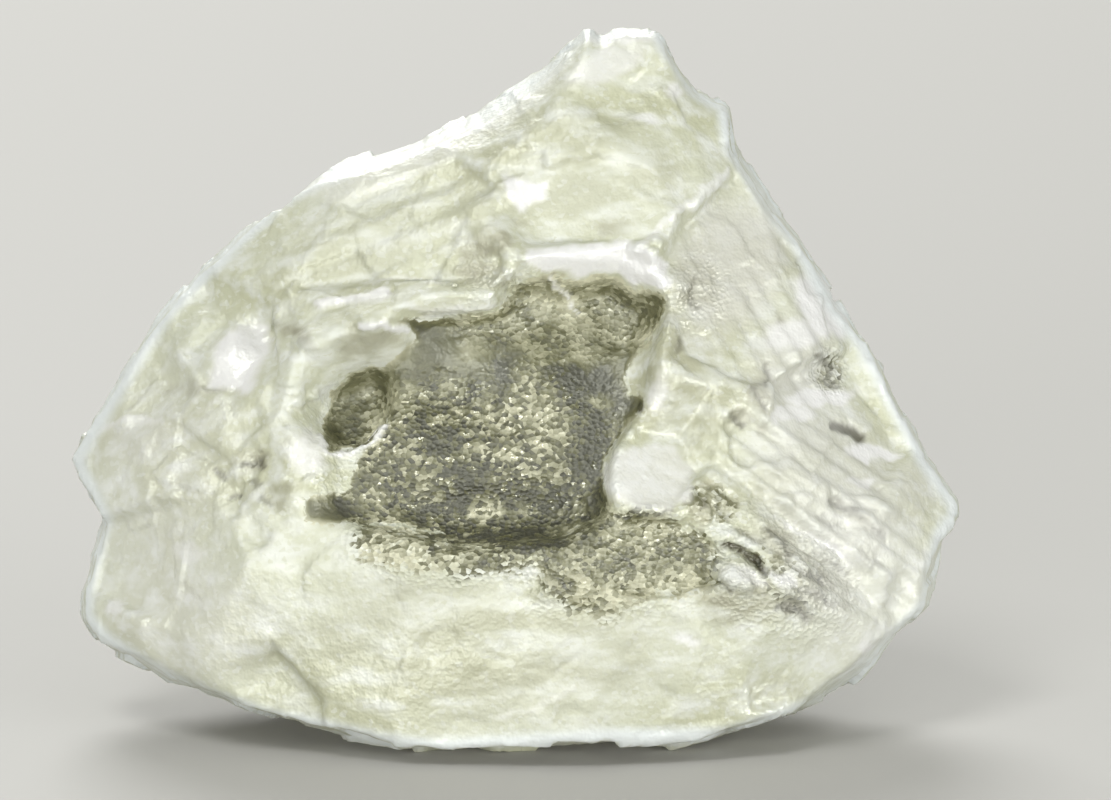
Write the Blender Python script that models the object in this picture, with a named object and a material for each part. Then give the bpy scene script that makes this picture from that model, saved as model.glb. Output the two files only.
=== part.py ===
"""A rough diamond, 18 mm across: one broken, frosted crystal that stands on a small flat.

Frame: millimetres times MM, +Z up, +X to the right of the stone's face, the face towards -Y.
The origin is on the flat that the stone rests on. The stone is blocked out as the hull of its
corners, chipped by planes and trimmed to its outline. Then it is broken down: the window in its
face, terraces, ledges, laminae, scallops and etch pits are each cut by a solid of their own.
"""

import math
import random

import bmesh
import bpy
from mathutils import Matrix, Vector
from mathutils.bvhtree import BVHTree

MM = 0.001
NODE = "rough_diamond"
CLEAR = 6.0  # mm, how far a cutter reaches past the stone's surface
FACE_LEAN = 12.0  # degrees. The face leans back, and is laid out on a sheet that leans as much.

# The outline of the face on its sheet, (right, up) in mm, clockwise from the peak.
OUTLINE = [
    (1.46, 14.08), (1.78, 13.89), (2.15, 14.12), (2.92, 14.02), (3.08, 13.65), (3.73, 12.70),
    (4.30, 12.41), (4.40, 11.62), (5.17, 10.45), (5.74, 9.70), (6.43, 8.44), (7.10, 7.60),
    (7.87, 6.12), (8.33, 5.24), (8.96, 4.35), (8.98, 4.02), (8.66, 3.62), (8.50, 2.90),
    (8.43, 2.30), (7.32, 1.14), (6.30, 0.31), (5.51, 0.01), (4.28, -0.40), (2.01, -0.40),
    (0.65, -0.48), (-1.56, -0.62), (-2.80, -0.48), (-4.16, -0.17), (-4.95, -0.05),
    (-6.28, 0.37), (-7.20, 0.78), (-8.43, 1.55), (-8.78, 2.00), (-8.80, 2.50), (-8.41, 3.98),
    (-8.90, 4.95), (-9.00, 5.24), (-8.53, 6.05), (-7.26, 8.08), (-6.53, 8.89), (-4.82, 10.51),
    (-4.16, 10.91), (-3.02, 11.34), (-1.95, 11.66), (-0.73, 12.21), (0.34, 12.98),
]
# The trimming solid has its full outline at one depth and is drawn in before and behind it,
# towards a point low in the face: how far away from the sheet in mm, and the share left there.
TRIM = [(-9.0, 0.50), (-1.6, 0.975), (-0.3, 1.0), (0.5, 0.985), (7.5, 0.40)]
TRIM_MIDDLE = (0.4, -0.3)

# Corners of the block on the face's sheet, (right, up, away) in mm.
RIM = [
    (1.1, 14.8, -1.3), (3.4, 14.7, -0.6), (5.0, 12.9, 0.2), (7.6, 8.2, 0.8), (9.7, 4.3, 0.3),
    (9.2, 1.8, -0.5), (-9.4, 1.6, -0.3), (-9.7, 5.4, 0.4), (-7.8, 8.4, 0.2), (-4.8, 11.2, -0.2),
]
BAND = [(-6.7, 8.0, -1.4), (-3.9, 10.1, -1.8), (-0.7, 11.2, -2.3), (1.3, 13.3, -2.1), (2.9, 13.2, -1.8)]
BROW = [(-4.4, 7.2, -3.3), (-0.6, 8.9, -3.7), (2.5, 9.3, -3.7), (4.9, 10.4, -1.6)]
FLANKS = [
    (5.3, 6.4, -3.3), (7.2, 4.4, -2.7), (8.2, 2.9, -1.9),
    (-7.2, 5.1, -2.5), (-5.5, 3.1, -4.1), (-7.5, 1.9, -2.7),
]
APRON = [
    (-2.0, 3.0, -5.0), (2.4, 3.1, -5.3), (5.7, 2.5, -4.2), (-6.4, 0.3, -3.1),
    (-2.4, -0.85, -4.2), (1.8, -0.72, -4.6), (5.2, -0.45, -3.6), (7.4, 1.0, -2.4),
]
# Corners of the block in the stone's own frame, (x, y, z) in mm.
BACK = [
    (-5.2, 4.2, 3.2), (0.2, 5.6, 3.0), (5.2, 4.5, 3.2), (-4.5, 4.5, 6.0), (0.9, 5.5, 6.6),
    (5.4, 4.0, 5.7), (0.4, 4.2, 10.2), (2.9, 3.7, 10.8), (-7.0, 3.0, 4.2), (7.3, 2.9, 4.0),
]
BASE = [
    (-1.9, -1.0, -0.12), (0.3, -1.9, -0.12), (2.6, -1.4, -0.12), (3.0, 0.5, -0.12),
    (1.9, 2.2, -0.12), (-0.6, 2.4, -0.12), (-2.2, 1.0, -0.12),
]
CHIPS = 46  # planes that take the block's corners off behind
CHIP_DEPTH = (0.12, 0.55)  # mm
CHIP_RISE = (-0.80, 0.50)  # how far down and up they may face, so the flat and the peak stay whole
CHIP_TURN = 0.70  # and how far sideways, so the ends stay whole

# The window, a deep pit in the face, and the pits in its floor: name, outline in (right, up) on
# the sheet in mm, depth in mm, and how many degrees deeper the floor gets to its top and right.
WINDOW = [
    ("window", [
        (-3.90, 5.75), (-3.75, 6.50), (-3.25, 7.00), (-2.25, 7.73), (-1.74, 7.94), (-0.43, 7.94),
        (-0.02, 8.44), (0.59, 8.62), (1.90, 8.62), (2.62, 8.38), (2.90, 8.16), (2.75, 7.67),
        (2.45, 7.00), (2.50, 6.35), (2.16, 5.75), (1.80, 5.30), (1.66, 4.63), (1.80, 4.12),
        (0.89, 3.65), (-0.93, 3.55), (-2.10, 3.62), (-3.20, 3.90), (-3.85, 4.20), (-3.60, 4.80),
    ], 1.05, 3, 3),
    ("window_oval", [
        (-3.75, 5.75), (-3.55, 6.40), (-3.00, 6.80), (-2.55, 6.50), (-2.55, 5.90), (-2.95, 5.50),
        (-3.40, 5.45),
    ], 1.45, 8, 0),
    ("window_chimney", [
        (0.20, 7.40), (0.40, 8.25), (1.80, 8.40), (2.55, 8.05), (2.35, 7.50), (1.30, 7.15),
    ], 1.45, 12, 8),
    ("window_sump", [
        (-2.60, 4.15), (-2.20, 4.80), (-0.70, 4.60), (0.60, 4.90), (1.25, 4.30), (0.40, 3.95),
        (-1.20, 3.85),
    ], 1.30, -16, 3),
    ("window_gully", [
        (-2.10, 6.20), (-1.50, 7.00), (-0.60, 6.60), (0.40, 7.00), (0.70, 6.20), (-0.50, 5.70),
    ], 1.14, 6, -9),
    ("window_shelf", [
        (0.85, 3.45), (1.85, 4.00), (3.40, 3.95), (4.20, 3.25), (3.95, 2.70), (2.60, 2.45),
        (1.05, 2.75),
    ], 0.36, -4, 0),
]
WINDOW_FLARE = 22  # degrees, how far the walls of the window open outwards

# The terraces of the face, laid out in the same way.
TERRACES = [
    ("brow_step", [
        (0.40, 9.60), (2.60, 9.55), (3.30, 10.00), (3.00, 10.90), (1.60, 11.30), (0.00, 10.80),
        (-0.20, 10.10),
    ], 0.40, -11, 0),
    ("left_step", [
        (-4.90, 8.50), (-3.00, 8.75), (-0.50, 8.65), (-0.20, 9.20), (-1.20, 10.00), (-3.40, 9.90),
    ], 0.24, -10, 0),
    ("crest", [(-3.60, 10.30), (-1.20, 11.20), (-0.40, 10.60), (-2.20, 9.70)], 0.18, 8, 0),
    ("bright_chip", [(-0.25, 10.90), (0.60, 11.00), (0.55, 11.50), (-0.15, 11.45)], 0.22, -25, 0),
    ("left_hollow", [
        (-6.60, 7.30), (-5.90, 8.00), (-4.90, 7.80), (-4.70, 6.90), (-5.30, 6.40), (-6.20, 6.60),
    ], 0.26, 22, 0),
    ("shoulder", [
        (2.90, 9.00), (3.40, 9.90), (4.40, 10.90), (5.60, 9.60), (6.40, 8.00), (5.90, 7.00),
        (4.60, 6.70), (3.40, 7.30), (3.10, 8.20),
    ], 0.30, 0, -6),
    ("right_hollow", [
        (5.20, 6.75), (6.60, 7.20), (7.70, 5.40), (7.20, 4.40), (6.00, 4.60), (5.00, 5.50),
    ], 0.28, 6, 6),
    ("bright_facet", [
        (1.95, 5.10), (2.45, 5.75), (3.25, 5.65), (3.60, 4.95), (3.10, 4.30), (2.10, 4.35),
    ], 0.34, 24, 0),
    ("left_apron", [
        (-8.20, 3.90), (-6.00, 4.50), (-4.60, 3.80), (-4.90, 2.60), (-6.70, 1.90), (-8.40, 2.50),
    ], 0.20, 0, -6),
    ("mid_apron", [(-0.30, -0.30), (1.50, 1.00), (4.50, 1.40), (4.60, 0.10), (2.00, -0.40)], 0.10, -6, -3),
    ("right_apron", [(4.60, 1.80), (6.60, 2.50), (7.80, 2.10), (6.50, 0.50), (4.70, 0.30)], 0.13, -6, -6),
    ("left_tip", [(-8.70, 5.40), (-6.90, 5.95), (-5.60, 5.10), (-6.30, 4.40), (-8.30, 4.50)], 0.16, 7, 0),
    ("peak", [(1.30, 13.70), (2.50, 13.80), (3.00, 12.80), (1.90, 11.90), (0.80, 12.60)], 0.18, -8, 0),
]
FLARE = 38  # degrees, how far the walls of a terrace open outwards

# Etch slits in the face: (right, up), length, width and depth in mm, and turn in degrees.
SLITS = [
    (4.54, 3.31, 1.05, 0.34, 0.45, -35), (5.55, 2.30, 0.70, 0.36, 0.35, -25),
    (6.67, 5.75, 0.60, 0.26, 0.30, -25), (-5.19, 5.24, 0.62, 0.34, 0.28, 30),
    (-5.59, 4.47, 0.70, 0.26, 0.25, 5), (6.26, 7.06, 0.66, 0.34, 0.30, 60),
    (3.80, 4.50, 0.62, 0.28, 0.28, -40), (3.12, 12.54, 0.46, 0.24, 0.20, 0),
    (-4.60, 7.55, 0.80, 0.22, 0.20, -25), (4.95, 7.10, 0.90, 0.20, 0.22, 75),
    (6.90, 4.90, 0.55, 0.22, 0.20, -30), (-4.30, 3.05, 0.50, 0.30, 0.20, 10),
]

# Laminae, the edges of crystal sheets: the side's bearing and tilt in degrees, where the fan
# starts, the step from one edge to the next and the way they run in (right, up), their width
# and depth, and their lengths, in mm.
LAMINAE = [
    (0, FACE_LEAN, (3.70, 5.45), (0.44, -0.48), (0.82, -0.57), 0.34, 0.16, [1.3, 2.7, 3.3, 3.1, 3.4, 2.5]),
    (180, 0, (-5.20, 7.20), (0.30, -0.62), (0.93, 0.24), 0.70, 0.20, [2.2, 3.4, 4.4, 4.0, 3.0, 2.6]),
    (180, 0, (1.60, 9.60), (0.42, -0.66), (0.86, -0.42), 0.62, 0.18, [1.6, 2.6, 2.2, 3.2, 2.4]),
    (125, 0, (-2.20, 4.60), (0.22, 0.55), (0.80, 0.30), 0.50, 0.15, [2.0, 2.6, 2.2, 1.5]),
    (-125, 0, (-0.90, 6.40), (0.10, -0.60), (0.90, -0.10), 0.50, 0.15, [1.6, 2.4, 2.6, 1.8]),
]

# Scallops, where shells of the crystal broke out: bearing and tilt of the side, (right, up) on
# it, the three radii, how far the middle stands off the surface in mm, and turn in degrees.
SCALLOPS = [
    (180, 0, 3.2, 8.3, 2.6, 1.7, 1.5, 1.15, 20), (180, 0, -3.6, 5.2, 2.8, 1.8, 1.6, 1.20, -30),
    (180, -20, 0.4, 2.6, 2.6, 1.4, 1.4, 1.05, 10), (180, 0, 5.6, 4.4, 1.7, 1.9, 1.3, 0.95, 40),
    (90, 0, -0.4, 6.6, 1.5, 2.3, 1.2, 0.85, 15), (90, -30, 1.2, 1.6, 2.0, 1.2, 1.2, 0.85, -20),
    (-90, 0, 0.2, 7.2, 1.7, 2.2, 1.2, 0.85, -10), (-90, -30, -1.2, 1.8, 1.8, 1.2, 1.2, 0.80, 25),
    (180, 0, -1.2, 11.2, 1.3, 1.0, 0.9, 0.62, 0), (0, FACE_LEAN, -7.0, 1.3, 1.5, 0.9, 1.0, 0.80, -30),
    (0, FACE_LEAN, -0.1, 12.2, 1.1, 0.8, 0.8, 0.62, 35), (0, FACE_LEAN, 7.7, 2.4, 0.8, 1.2, 0.9, 0.70, -15),
    (0, -50, 3.9, 1.2, 1.5, 0.9, 1.0, 0.78, 10), (0, -50, -4.0, 1.6, 1.6, 1.0, 1.0, 0.76, -15),
]

# Terraces broken at random: bearing and tilt of the side, how many, the reach of their middles
# in (right, up), and the ranges of half their width and of their depth, in mm.
SCATTER = [
    (0, FACE_LEAN, 26, (-7.6, 7.6), (1.5, 12.8), (0.25, 0.75), (0.04, 0.10)),
    (0, FACE_LEAN, 16, (3.4, 7.4), (2.6, 9.6), (0.30, 0.85), (0.06, 0.17)),
    (0, FACE_LEAN, 8, (-7.2, -4.2), (2.6, 7.8), (0.40, 1.00), (0.05, 0.12)),
    (180, 0, 26, (-6.5, 6.8), (2.4, 11.6), (0.7, 1.9), (0.10, 0.34)),
    (180, -45, 10, (-5.5, 5.5), (-2.0, 3.0), (0.6, 1.5), (0.08, 0.26)),
    (0, -50, 9, (-5.5, 5.5), (0.6, 4.0), (0.6, 1.3), (0.05, 0.13)),
    (120, 0, 10, (-4.0, 4.5), (1.8, 9.8), (0.5, 1.4), (0.08, 0.24)),
    (-120, 0, 10, (-4.5, 4.0), (1.8, 9.2), (0.5, 1.4), (0.08, 0.24)),
]
SCATTER_TILT = 12  # degrees, how far a scattered terrace's floor may tip
WINDOW_KEEP = (-4.3, 3.2, 3.3, 9.3)  # left, right, low, high: no random terrace breaks in here
FLAT_KEEP = 5.2  # mm, nor as near as this to the middle of the flat
TRIGONS = 30  # three-sided etch pits, on all sides
TRIGON_SIZE = (0.20, 0.46)  # mm, middle to corner
SEED = 11

CREAM = (0.70, 0.69, 0.56, 1.0)  # linear, the frosted skin
ROUGHNESS = 0.45


class Side:
    """The block as seen from one side, which finds its surface behind a point.

    A side is seen from a bearing, 0 at the face and 180 at the back, square to a sheet that
    leans back by a tilt. Places are (right, up) in mm, as they look from there.
    """

    def __init__(self, tree, bearing=0.0, tilt=FACE_LEAN):
        self.tree = tree
        lean = Matrix.Rotation(math.radians(-tilt), 3, "X")
        self.turn = Matrix.Rotation(math.radians(bearing), 3, "Z") @ lean
        self.away = self.turn @ Vector((0, 1, 0))

    def place(self, right, up, away):
        """A point in the stone's frame, in metres."""
        return self.turn @ Vector((right, away, up)) * MM

    def surface(self, right, up):
        """The point of the block's surface there, and the way its facet faces, or None twice."""
        point, normal, _, _ = self.tree.ray_cast(self.place(right, up, -3 * CLEAR), self.away)
        return point, normal

    def on_plane(self, right, up, point, normal):
        """Where the line of sight through (right, up) meets a plane."""
        start = self.place(right, up, 0)
        return start + self.away * ((point - start).dot(normal) / self.away.dot(normal))

    def tipped(self, normal, up_angle, right_angle):
        """A floor's normal, turned so that its top and its right go deeper by these angles."""
        up_turn = Matrix.Rotation(math.radians(-up_angle), 3, "X")
        right_turn = Matrix.Rotation(math.radians(right_angle), 3, "Z")
        return self.turn @ up_turn @ right_turn @ self.turn.inverted() @ normal


def hull(points):
    """A bmesh of the smallest convex solid that holds these points."""
    bm = bmesh.new()
    for point in points:
        bm.verts.new(point)
    made = bmesh.ops.convex_hull(bm, input=bm.verts)
    inside = {v for v in made["geom_interior"] if isinstance(v, bmesh.types.BMVert)}
    bmesh.ops.delete(bm, geom=list(inside), context="VERTS")
    return bm


def loft(rings):
    """A bmesh that runs through rings of as many points each, closed at its two ends."""
    bm = bmesh.new()
    loops = [[bm.verts.new(point) for point in ring] for ring in rings]
    bm.faces.new(loops[0])
    bm.faces.new(loops[-1])
    for low, high in zip(loops, loops[1:]):
        for k in range(len(low)):
            bm.faces.new((low[k - 1], low[k], high[k], high[k - 1]))
    return bm


def new_object(name, bm):
    """An object of this mesh, with its faces pointing out."""
    bmesh.ops.recalc_face_normals(bm, faces=bm.faces)
    if bm.calc_volume(signed=True) < 0:
        bmesh.ops.reverse_faces(bm, faces=bm.faces)
    mesh = bpy.data.meshes.new(name)
    bm.to_mesh(mesh)
    bm.free()
    made = bpy.data.objects.new(name, mesh)
    bpy.context.scene.collection.objects.link(made)
    return made


def cut(stone, name, bm, operation="DIFFERENCE"):
    """Cuts the stone by the solid in a bmesh, which stays as a hidden cutter.

    The cuts cross one another's thin edges, where only the MANIFOLD solver keeps the stone
    closed. Every cutter is a closed solid, as that solver needs.
    """
    cutter = new_object(name + "_cutter", bm)
    cutter.hide_render = True
    cutter.display_type = "WIRE"
    step = stone.modifiers.new(name, "BOOLEAN")
    step.operation = operation
    step.solver = "MANIFOLD"
    step.object = cutter


def slice_off(bm, point, outward):
    """Cleaves off what lies past a plane and closes the break."""
    everything = bm.verts[:] + bm.edges[:] + bm.faces[:]
    made = bmesh.ops.bisect_plane(
        bm, geom=everything, dist=1e-7, plane_co=point, plane_no=outward, clear_outer=True
    )
    edges = [e for e in made["geom_cut"] if isinstance(e, bmesh.types.BMEdge)]
    bmesh.ops.contextual_create(bm, geom=edges)


def chip(bm, rng):
    """Takes the corners off the block behind, by planes that face all ways there."""
    made = 0
    while made < CHIPS:
        outward = Vector((rng.gauss(0, 1), rng.gauss(0, 1), rng.gauss(0, 0.8))).normalized()
        if outward.y < 0.05 or abs(outward.x) > CHIP_TURN:
            continue
        if not CHIP_RISE[0] < outward.z < CHIP_RISE[1]:
            continue
        farthest = max(bm.verts, key=lambda v: v.co.dot(outward)).co
        slice_off(bm, farthest - outward * rng.uniform(*CHIP_DEPTH) * MM, outward)
        made += 1


def middle_of(points):
    """The mean of a list of points."""
    return sum((Vector(p) for p in points), Vector((0,) * len(points[0]))) / len(points)


def pit(side, outline, depth, deeper_up=0.0, deeper_right=0.0, flare=FLARE):
    """A cutter for a flat-floored pit, its floor depth mm under the facet at its middle.

    The floor is parallel to that facet unless it is tipped, and fades out where it comes up to
    the surface. The walls open outwards by the flare, in degrees.
    """
    mouth, normal = side.surface(*middle_of(outline))
    floor_normal = side.tipped(normal, deeper_up, deeper_right)
    foot = [side.on_plane(*p, mouth - normal * depth * MM, floor_normal) for p in outline]
    centre = middle_of(foot)
    spread = math.tan(math.radians(flare)) * CLEAR * MM
    rise = floor_normal * CLEAR * MM
    return loft([foot, [p + rise + (p - centre).normalized() * spread for p in foot]])


def slit(side, right, up, length, width, depth, turn):
    """A cutter for a boat-shaped etch slit."""
    mouth, normal = side.surface(right, up)
    spin = Matrix.Rotation(math.radians(turn), 2)
    points = []
    for along, across in ((-0.5, 0), (-0.2, 0.5), (0.25, 0.45), (0.5, 0), (0.2, -0.5), (-0.25, -0.4)):
        place = Vector((right, up)) + spin @ Vector((along * length, across * width))
        edge = side.on_plane(*place, mouth, normal)
        points += [edge, edge + normal * 0.3 * MM]
    for along in (-0.2, 0.15):
        place = Vector((right, up)) + spin @ Vector((along * length, 0))
        points.append(side.on_plane(*place, mouth, normal) - normal * depth * MM)
    return hull(points)


def lamina(side, start, run, length, width, depth):
    """A cutter for the edge of one crystal sheet: a steep wall at a long, low slope's foot."""
    along = Vector(run).normalized()
    across = Vector((-along.y, along.x))
    points = []
    for share, fade in ((0.0, 0.35), (0.3, 1.0), (0.75, 0.9), (1.0, 0.3)):
        middle = start + along * length * share
        mouth, normal = side.surface(*middle)
        if mouth is None:
            continue
        for offset, sink in ((-0.5, -0.6), (0.5, -0.6), (-0.5, 0.0), (0.5, 0.0), (-0.34, 1.0)):
            edge = side.on_plane(*(middle + across * width * offset), mouth, normal)
            points.append(edge - normal * depth * sink * fade * MM)
    return hull(points)


def scallop(side, right, up, radii, stand_off, turn):
    """A cutter for a shell-shaped hollow: a faceted ellipsoid that dips into the surface."""
    bm = bmesh.new()
    bmesh.ops.create_icosphere(bm, subdivisions=3, radius=MM)
    mouth, normal = side.surface(right, up)
    facing = normal.to_track_quat("Z", "Y").to_matrix().to_4x4()
    spot = Matrix.Translation(mouth + normal * stand_off * MM)
    spin = Matrix.Rotation(math.radians(turn), 4, "Z")
    bm.transform(spot @ facing @ spin @ Matrix.Diagonal((*radii, 1)))
    return bm


def trigon(side, right, up, size, turn):
    """A cutter for a shallow three-sided etch pit."""
    mouth, normal = side.surface(right, up)
    facing = normal.to_track_quat("Z", "Y").to_matrix()
    points = [mouth - normal * 0.35 * size * MM]
    for k in range(3):
        arm = Matrix.Rotation(math.radians(turn + 120 * k), 3, "Z") @ Vector((size * MM, 0, 0))
        points += [mouth + facing @ arm, mouth + facing @ (arm * 1.4) + normal * 0.25 * size * MM]
    return hull(points)


def broken_outline(rng, middle, size):
    """An uneven outline of five to eight corners round a point."""
    corners = rng.randint(5, 8)
    stretch = rng.uniform(0.45, 1.0)
    turn = Matrix.Rotation(rng.uniform(0, math.pi), 2)
    outline = []
    for k in range(corners):
        angle = math.tau * (k + rng.uniform(-0.3, 0.3)) / corners
        reach = size * rng.uniform(0.7, 1.15)
        outline.append(middle + turn @ Vector((math.cos(angle) * reach, math.sin(angle) * reach * stretch)))
    return outline


def cut_face(stone, tree):
    """The window and its pits, and the terraces and slits round it."""
    face = Side(tree)
    for name, outline, depth, deeper_up, deeper_right in WINDOW:
        cut(stone, name, pit(face, outline, depth, deeper_up, deeper_right, WINDOW_FLARE))
    for name, outline, depth, deeper_up, deeper_right in TERRACES:
        cut(stone, name, pit(face, outline, depth, deeper_up, deeper_right))
    for k, mark in enumerate(SLITS):
        cut(stone, f"slit_{k}", slit(face, *mark))


def cut_all_round(stone, tree, rng):
    """The laminae and scallops, and the terraces and etch pits that are broken at random."""
    for f, (bearing, tilt, start, step, run, width, depth, lengths) in enumerate(LAMINAE):
        side = Side(tree, bearing, tilt)
        for k, length in enumerate(lengths):
            at = Vector(start) + Vector(step) * k
            cut(stone, f"lamina_{f}_{k}", lamina(side, at, run, length, width, depth))
    for k, (bearing, tilt, right, up, *radii, stand_off, turn) in enumerate(SCALLOPS):
        cut(stone, f"scallop_{k}", scallop(Side(tree, bearing, tilt), right, up, radii, stand_off, turn))
    left, right, low, high = WINDOW_KEEP
    for s, (bearing, tilt, count, rights, ups, sizes, depths) in enumerate(SCATTER):
        side = Side(tree, bearing, tilt)
        for k in range(count):
            middle = Vector((rng.uniform(*rights), rng.uniform(*ups)))
            outline = broken_outline(rng, middle, rng.uniform(*sizes))
            tips = [rng.uniform(-SCATTER_TILT, SCATTER_TILT) for _ in range(2)]
            depth = rng.uniform(*depths)
            mouth, _ = side.surface(*middle_of(outline))
            in_window = bearing == 0 and left < middle.x < right and low < middle.y < high
            if mouth is not None and mouth.length > FLAT_KEEP * MM and not in_window:
                cut(stone, f"terrace_{s}_{k}", pit(side, outline, depth, *tips))
    for k in range(TRIGONS):
        side = Side(tree, rng.choice((180, 180, 180, 90, -90)), 0)
        place = rng.uniform(-6.5, 6.5), rng.uniform(1.5, 11.0)
        size, turn = rng.uniform(*TRIGON_SIZE), rng.uniform(0, 120)
        if side.surface(*place)[0] is not None:
            cut(stone, f"trigon_{k}", trigon(side, *place, size, turn))


def clear_crumbs(stone):
    """Fixes the cuts in the mesh, drops the crumbs they cut loose, and takes the cutters away."""
    bm = bmesh.new()
    bm.from_object(stone, bpy.context.evaluated_depsgraph_get())
    left, pieces = set(bm.verts), []
    while left:
        piece, edge_of_piece = set(), {left.pop()}
        while edge_of_piece:
            piece |= edge_of_piece
            edge_of_piece = {e.other_vert(v) for v in edge_of_piece for e in v.link_edges} - piece
        left -= piece
        pieces.append(piece)
    stone_verts = max(pieces, key=len)
    bmesh.ops.delete(bm, geom=[v for v in bm.verts if v not in stone_verts], context="VERTS")
    stone.modifiers.clear()
    bm.to_mesh(stone.data)
    bm.free()
    for cutter in [o for o in bpy.data.objects if o is not stone]:
        bpy.data.objects.remove(cutter)


def frosted():
    """The frosted skin of the stone."""
    material = bpy.data.materials.new("frosted_diamond")
    material.use_nodes = True
    shader = material.node_tree.nodes["Principled BSDF"]
    shader.inputs["Base Color"].default_value = CREAM
    shader.inputs["Roughness"].default_value = ROUGHNESS
    shader.inputs["Metallic"].default_value = 0.0
    return material


def main():
    for old in list(bpy.data.objects):
        bpy.data.objects.remove(old)
    rng = random.Random(SEED)
    sheet = Side(None)
    corners = [sheet.place(*p) for p in RIM + BAND + BROW + FLANKS + APRON]
    block = hull(corners + [Vector(p) * MM for p in BACK + BASE])
    chip(block, rng)
    slice_off(block, Vector((0, 0, 0)), Vector((0, 0, -1)))
    bmesh.ops.recalc_face_normals(block, faces=block.faces)
    tree = BVHTree.FromBMesh(block)
    stone = new_object(NODE, block)
    stone.data.materials.append(frosted())
    middle = Vector(TRIM_MIDDLE)
    rings = [[sheet.place(*middle.lerp(Vector(p), share), away) for p in OUTLINE] for away, share in TRIM]
    cut(stone, "outline", loft(rings), "INTERSECT")
    cut_face(stone, tree)
    cut_all_round(stone, tree, rng)
    clear_crumbs(stone)


main()
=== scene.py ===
"""The looks of a rough diamond: its frosted skin, the dark window in its face, and its light.

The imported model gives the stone's body. Here that body gets its fine relief: a mesh of even
cells is grown over it and sculpted with swells, broken facets, growth lines and etch grain. One
finish, frosted diamond, dresses it. Lengths are in millimetres unless a name says otherwise, and
turn to Blender's metres where a mesh, a lamp or the camera is placed.
"""

import logging
import math
from dataclasses import dataclass, field
from enum import Enum

import bmesh
import bpy
import numpy as np
from mathutils import Matrix, Vector, noise
from mathutils.bvhtree import BVHTree


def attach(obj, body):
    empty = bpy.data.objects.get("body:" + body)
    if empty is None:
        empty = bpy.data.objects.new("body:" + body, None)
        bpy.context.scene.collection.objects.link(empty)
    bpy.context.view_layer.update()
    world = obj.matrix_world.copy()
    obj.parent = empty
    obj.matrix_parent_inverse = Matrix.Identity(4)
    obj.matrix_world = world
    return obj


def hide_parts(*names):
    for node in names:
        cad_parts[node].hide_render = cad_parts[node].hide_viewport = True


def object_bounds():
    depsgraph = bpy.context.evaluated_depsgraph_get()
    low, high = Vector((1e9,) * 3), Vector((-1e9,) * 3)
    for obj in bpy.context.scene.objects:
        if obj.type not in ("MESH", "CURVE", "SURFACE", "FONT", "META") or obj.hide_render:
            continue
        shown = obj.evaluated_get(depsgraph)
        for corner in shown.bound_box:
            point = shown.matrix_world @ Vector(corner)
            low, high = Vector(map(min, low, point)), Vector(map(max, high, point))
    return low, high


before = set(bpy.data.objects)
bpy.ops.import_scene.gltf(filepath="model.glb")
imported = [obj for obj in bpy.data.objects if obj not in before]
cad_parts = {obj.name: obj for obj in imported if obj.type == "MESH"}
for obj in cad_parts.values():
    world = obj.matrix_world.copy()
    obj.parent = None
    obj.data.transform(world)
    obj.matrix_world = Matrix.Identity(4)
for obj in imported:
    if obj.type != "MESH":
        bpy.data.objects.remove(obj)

CAD_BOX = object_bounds()
MM = 0.001
NODE = "rough_diamond"
BODY = "root"
FACE_LEAN = math.radians(12.0)

Socket = bpy.types.NodeSocket

log = logging.getLogger("rough_diamond")


class Mark(Enum):
    """The attributes of the stone's mesh that its finish reads, each from 0 to 1."""

    WINDOW = "window"  # how far the skin is gone
    GRAIN = "grain"  # how much the etch grain shows where it is gone
    # painted shade: the darkest places, in slits, pits and the deepest of the window
    DARK = "dark"  # the darkest places: slits, pits and the deepest of the window
    # paler clusters of etched facets, and painted light that lifts the shade on the window's walls
    PALE = "pale"  # paler clusters of etched facets
    # painted highlights on broken facets that catch the light
    PAINTED_HIGHLIGHT = "painted_highlight"  # broken facets that catch the light
    # olive-grey stain, and painted shade in the dips
    STAIN_AND_SHADE = "stain_and_shade"  # olive-grey shade under thin or pitted skin
    BLUSH = "blush"  # greyer, faintly pink skin
    # painted glow on thin edges, the rim and raised ridges
    PAINTED_GLOW = "painted_glow"  # thin edges


def linear(colour: str) -> tuple[float, float, float, float]:
    """Turns an sRGB colour to the linear one that a shader takes.

    Args:
        colour: The colour as six hex digits.

    Returns:
        Red, green, blue and an alpha of 1.
    """
    values = [int(colour[k : k + 2], 16) / 255 for k in (0, 2, 4)]
    low = [v / 12.92 if v <= 0.04045 else ((v + 0.055) / 1.055) ** 2.4 for v in values]
    return (low[0], low[1], low[2], 1.0)


def smooth_step(value: np.ndarray, low: float, high: float) -> np.ndarray:
    """Rises smoothly from 0 at low to 1 at high."""
    share = np.clip((value - low) / (high - low), 0.0, 1.0)
    return share * share * (3.0 - 2.0 * share)


@dataclass(frozen=True)
class Sheet:
    """The sheet that the stone's face is laid out on, which leans back as the face does."""

    lean: float = FACE_LEAN

    def place(self, right: float, up: float, away: float) -> Vector:
        """Gives a point of the sheet in the stone's frame, in the same unit."""
        return Matrix.Rotation(-self.lean, 3, "X") @ Vector((right, away, up))

    def spots(self, points: np.ndarray) -> tuple[np.ndarray, np.ndarray, np.ndarray]:
        """Lays points out on the sheet.

        Args:
            points: One row for each point, in the stone's frame.

        Returns:
            How far right, up and away each of them lies.
        """
        sin, cos = math.sin(self.lean), math.cos(self.lean)
        up = points[:, 1] * sin + points[:, 2] * cos
        away = points[:, 1] * cos - points[:, 2] * sin
        return points[:, 0], up, away


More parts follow.
